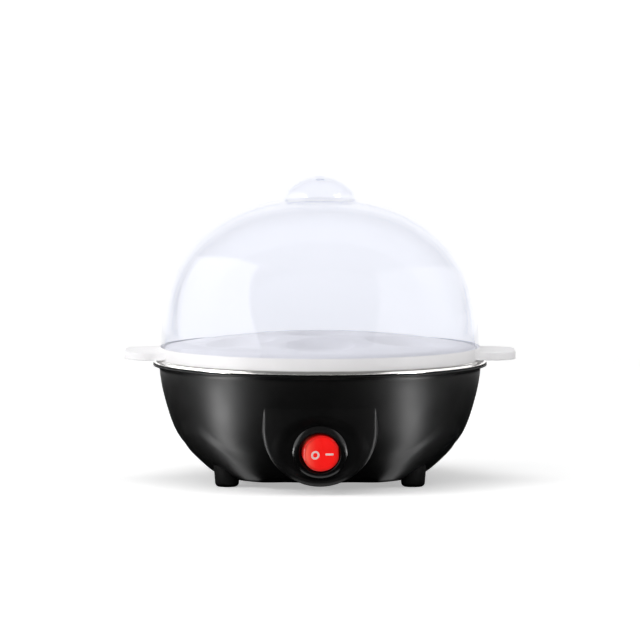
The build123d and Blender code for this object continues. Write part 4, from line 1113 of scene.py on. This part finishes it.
# strips on the floor for the bowl: the turns of their inner and of their outer end, the distances
# of both, their height, their glow, and the distances between which the glow sets in
STREAK_REACH, STREAK_FADE, STRIP_Z = (0.045, 0.4), (0.032, 0.16), 0.8 * MM
CARDS = {
    "flag": ((-180, 180), (-180, 180), (0.02, 0.5), 0.4 * MM, 0.0, None),
    "card_left": ((-50, -38), (-74, -61), STREAK_REACH, STRIP_Z, 23.0, STREAK_FADE),
    "card_right": ((38, 50), (53, 65), STREAK_REACH, STRIP_Z, 20.24, STREAK_FADE),
    "card_front": ((-14, 14), (-14, 14), (0.066, 0.0745), STRIP_Z, 1.6, None),
}
# lamps: turn from the camera's side to the right and rise, in degrees, distance, width and
# height in metres, and power in watts
LAMPS = {
    "lamp_left": (-72, 18, 1.2, (0.9, 0.5), 7.4),
    "lamp_right": (74, 18, 1.2, (0.9, 0.5), 3.2),
    "lamp_front": (-8, 30, 1.6, (1.2, 0.6), 5.0),
    "lamp_top": (-20, 80, 1.4, (1.0, 1.0), 7.4),
}
# the height over the table that the lamps and the ring face
HEART = (0, 0, 0.06)


def unseen_by(piece, *rays):
    """Keeps a piece out of the kinds of ray that are named."""
    for ray in rays:
        setattr(piece, "visible_" + ray, False)


def clear_from_behind(tree, front, surface):
    """Shows a sheet's shader on its front only, so that a camera behind it looks through it."""
    side = tree.nodes.new("ShaderNodeNewGeometry")
    clear = tree.nodes.new("ShaderNodeBsdfTransparent")
    tree.links.new(mixed(tree, side.outputs["Backfacing"], front, clear.outputs["BSDF"]), surface)


def white_ground(name):
    """Matt white that also glows where the eye, metal or clear plastic sees it."""
    material, tree, shader = node_material(name)
    shader.inputs["Base Color"].default_value = (0.88, 0.88, 0.88, 1)
    shader.inputs["Roughness"].default_value = 0.9
    shader.inputs["Specular IOR Level"].default_value = 0.0
    shader.inputs["Emission Color"].default_value = (1, 1, 1, 1)
    rays = tree.nodes.new("ShaderNodeLightPath").outputs
    seen = worked_out(tree, "MAXIMUM", rays["Is Camera Ray"], rays["Is Glossy Ray"])
    seen = worked_out(tree, "MAXIMUM", seen, rays["Is Transmission Ray"])
    back = parts_of(tree, object_spot(tree))["Y"]
    light = span_between(tree, back, SHEET_SPAN, SHEET_GLOW, True)
    tree.links.new(worked_out(tree, "MULTIPLY", seen, light), shader.inputs["Emission Strength"])
    surface = tree.nodes["Material Output"].inputs["Surface"]
    clear_from_behind(tree, shader.outputs["BSDF"], surface)
    return material


def white_sheet(name):
    """The floor and backdrop in one sheet: flat, then a quarter circle, then upright."""
    bend = np.linspace(0, np.pi / 2, 24)
    arc = np.stack([SHEET_FLAT + SHEET_BEND * np.sin(bend), SHEET_BEND * (1 - np.cos(bend))], -1)
    flat = [(SHEET_FRONT, 0.0), (-0.4, 0.0), (0.4, 0.0)]
    line = np.concatenate([flat, arc, [(SHEET_FLAT + SHEET_BEND, SHEET_TOP)]])
    y, z = np.repeat(line[:, :1], 2, 1), np.repeat(line[:, 1:], 2, 1)
    x = np.broadcast_to((-SHEET_HALF, SHEET_HALF), y.shape)
    return make_object(name, np.stack([x, y, z], -1), grid_quads(len(line), 2)[..., ::-1])


def far_white(name):
    """A round white wall and its floor, far off, that only the camera sees, for every side."""
    profile = [(FAR_START, FAR_FOOT), (FAR_REACH, FAR_FOOT), (FAR_REACH, FAR_TOP)]
    wall = ring_sheet(name, lathe_rows(profile, 96), flip=True)
    material, tree, surface = bare_material(name)
    light = tree.nodes.new("ShaderNodeEmission")
    clear_from_behind(tree, light.outputs["Emission"], surface)
    dress(wall, material)
    unseen_by(wall, "diffuse", "glossy", "transmission", "shadow")


def area_lamp(name, turn, rise, away, size, power):
    """A rectangular lamp that faces the cooker and gives light but no mirror image."""
    light = bpy.data.lights.new(name, "AREA")
    light.shape = "RECTANGLE"
    light.size, light.size_y = size
    light.energy = power
    lamp = place(name, light)
    a, b = math.radians(turn), math.radians(rise)
    toward = np.array([math.sin(a) * math.cos(b), -math.cos(a) * math.cos(b), math.sin(b)])
    lamp.location = toward * away + HEART
    lamp.rotation_euler = (math.pi / 2 - b, 0, a)
    unseen_by(lamp, "camera", "glossy")


def soft_panel(name, corners, glow):
    """A curved screen on a sphere about the cooker that is seen only as a mirror image.

    Its (turn, rise) runs straight between its corners, and its top edge rises
    by the bulge in its middle.
    """
    foot_in, head_in, head_out, foot_out = np.array(corners, float)
    s, t = np.meshgrid(np.linspace(0, 1, 33), np.linspace(0, 1, 21))
    s, t = s[..., None], t[..., None]
    foot = (1 - s) * foot_in + s * foot_out
    head = (1 - s) * head_in + s * head_out
    turn, rise = np.moveaxis((1 - t) * foot + t * head, -1, 0)
    a, b = np.radians(turn), np.radians(rise + (PANEL_BULGE * 4 * s * (1 - s) * t)[..., 0])
    spot = np.stack([np.sin(a) * np.cos(b), -np.cos(a) * np.cos(b), np.sin(b)], -1)
    screen(name, spot * PANEL_AWAY, glow)


def rear_ring(name):
    """A ring of screen behind the cooker, part of a sphere about it, seen as a mirror image."""
    spread = np.radians(np.linspace(*REAR_SPREAD, 17))
    a, b = np.meshgrid(np.linspace(0, 2 * np.pi, 49), spread)
    spot = np.stack([np.sin(b) * np.cos(a), np.cos(b), np.sin(b) * np.sin(a)], -1)
    screen(name, spot * REAR_AWAY + HEART, REAR_GLOW)


def floor_card(name, near, far, reach, rise, glow, fade):
    """A strip just over the floor that is seen only as a mirror image.

    It lies between two turns, which run from near at its inner end to far at
    its outer end by the inverse of its reach.
    """
    inverse = np.linspace(1 / reach[0], 1 / reach[1], 33)[:, None]
    part = (inverse - 1 / reach[1]) / (1 / reach[0] - 1 / reach[1])
    inner, outer = np.linspace(*near, 25), np.linspace(*far, 25)
    a = np.radians(outer * (1 - part) + inner * part)
    spot = np.stack([np.sin(a) / inverse, -np.cos(a) / inverse, 0 * a + rise], -1)
    screen(name, spot, glow, fade)


def screen(name, spot, glow, fade=None):
    """A glow on a grid of points, kept out of every ray but a mirror's.

    With fade it grows from nothing to full between two distances from the
    cooker's axis.
    """
    panel = make_object(name, spot, grid_quads(*spot.shape[:2]))
    material, tree, surface = bare_material(name)
    light = tree.nodes.new("ShaderNodeEmission")
    light.inputs["Strength"].default_value = glow
    if fade:
        away = tree.nodes.new("ShaderNodeVectorMath")
        away.operation = "LENGTH"
        tree.links.new(object_spot(tree), away.inputs[0])
        grown = span_between(tree, away.outputs["Value"], fade, (0.0, glow), True)
        tree.links.new(grown, light.inputs["Strength"])
    tree.links.new(light.outputs["Emission"], surface)
    dress(panel, material)
    unseen_by(panel, "camera", "diffuse", "transmission", "shadow")


class EGGCOOKER_OT_stage(bpy.types.Operator):
    """Sets the floor, the backdrop, the lamps, the even light and the camera"""

    bl_idname = "egg_cooker.stage"
    bl_label = "Stage"

    def execute(self, context):
        scene = context.scene
        sizes = scene.egg_stage
        scene.view_settings.view_transform = "Standard"

        ground = white_sheet("stage_sweep")
        dress(ground, white_ground("sweep_white"))
        far_white("stage_round")

        world = bpy.data.worlds.new("even_light")
        scene.world = world
        world.use_nodes = True
        back = world.node_tree.nodes["Background"]
        back.inputs["Color"].default_value = (1, 1, 1, 1)
        back.inputs["Strength"].default_value = sizes.ambient

        for name, given in PANELS.items():
            soft_panel(name, *given)
        rear_ring("panel_rear")
        for name, given in CARDS.items():
            floor_card(name, *given)
        for name, given in LAMPS.items():
            area_lamp(name, *given)

        camera = bpy.data.cameras.new("camera")
        eye = place("camera", camera)
        drop = sizes.height - sizes.aim
        away = math.sqrt(sizes.distance**2 - drop**2)
        eye.location = (0, -away, sizes.height)
        eye.rotation_euler = (math.pi / 2 - math.atan2(drop, away), 0, 0)
        camera.sensor_width = 36.0
        camera.lens = camera.sensor_width * sizes.distance / sizes.view_width
        camera.clip_start, camera.clip_end = 0.05, 50
        scene.camera = eye
        return {"FINISHED"}


# Panel

STEPS = (
    EGGCOOKER_OT_bowl,
    EGGCOOKER_OT_feet,
    EGGCOOKER_OT_pan,
    EGGCOOKER_OT_tray,
    EGGCOOKER_OT_dome,
    EGGCOOKER_OT_switch,
    EGGCOOKER_OT_inner,
    EGGCOOKER_OT_stage,
)
SETTINGS = {
    "egg_bowl": EggCookerBowl,
    "egg_tray": EggCookerTray,
    "egg_dome": EggCookerDome,
    "egg_switch": EggCookerSwitch,
    "egg_stage": EggCookerStage,
}


class EGGCOOKER_PT_panel(bpy.types.Panel):
    """Lists the cooker's settings and steps in the 3D view's sidebar"""

    bl_idname = "EGGCOOKER_PT_panel"
    bl_label = "Egg cooker"
    bl_space_type = "VIEW_3D"
    bl_region_type = "UI"
    bl_category = "Egg cooker"

    def draw(self, context):
        for key, group in SETTINGS.items():
            box = self.layout.box()
            settings = getattr(context.scene, key)
            for field in group.__annotations__:
                box.prop(settings, field)
        for step in STEPS:
            self.layout.operator(step.bl_idname)


def register():
    """Registers the settings, the steps and the panel, and hangs the settings on the scene."""
    for key, group in SETTINGS.items():
        bpy.utils.register_class(group)
        setattr(bpy.types.Scene, key, bpy.props.PointerProperty(type=group))
    for step in STEPS:
        bpy.utils.register_class(step)
    bpy.utils.register_class(EGGCOOKER_PT_panel)


def unregister():
    """Takes back what register did, in the opposite order."""
    bpy.utils.unregister_class(EGGCOOKER_PT_panel)
    for step in reversed(STEPS):
        bpy.utils.unregister_class(step)
    for key, group in SETTINGS.items():
        delattr(bpy.types.Scene, key)
        bpy.utils.unregister_class(group)


def main():
    """Registers the classes and runs every step."""
    register()
    for step in STEPS:
        family, call = step.bl_idname.split(".")
        getattr(getattr(bpy.ops, family), call)()


if __name__ == "__main__":
    main()
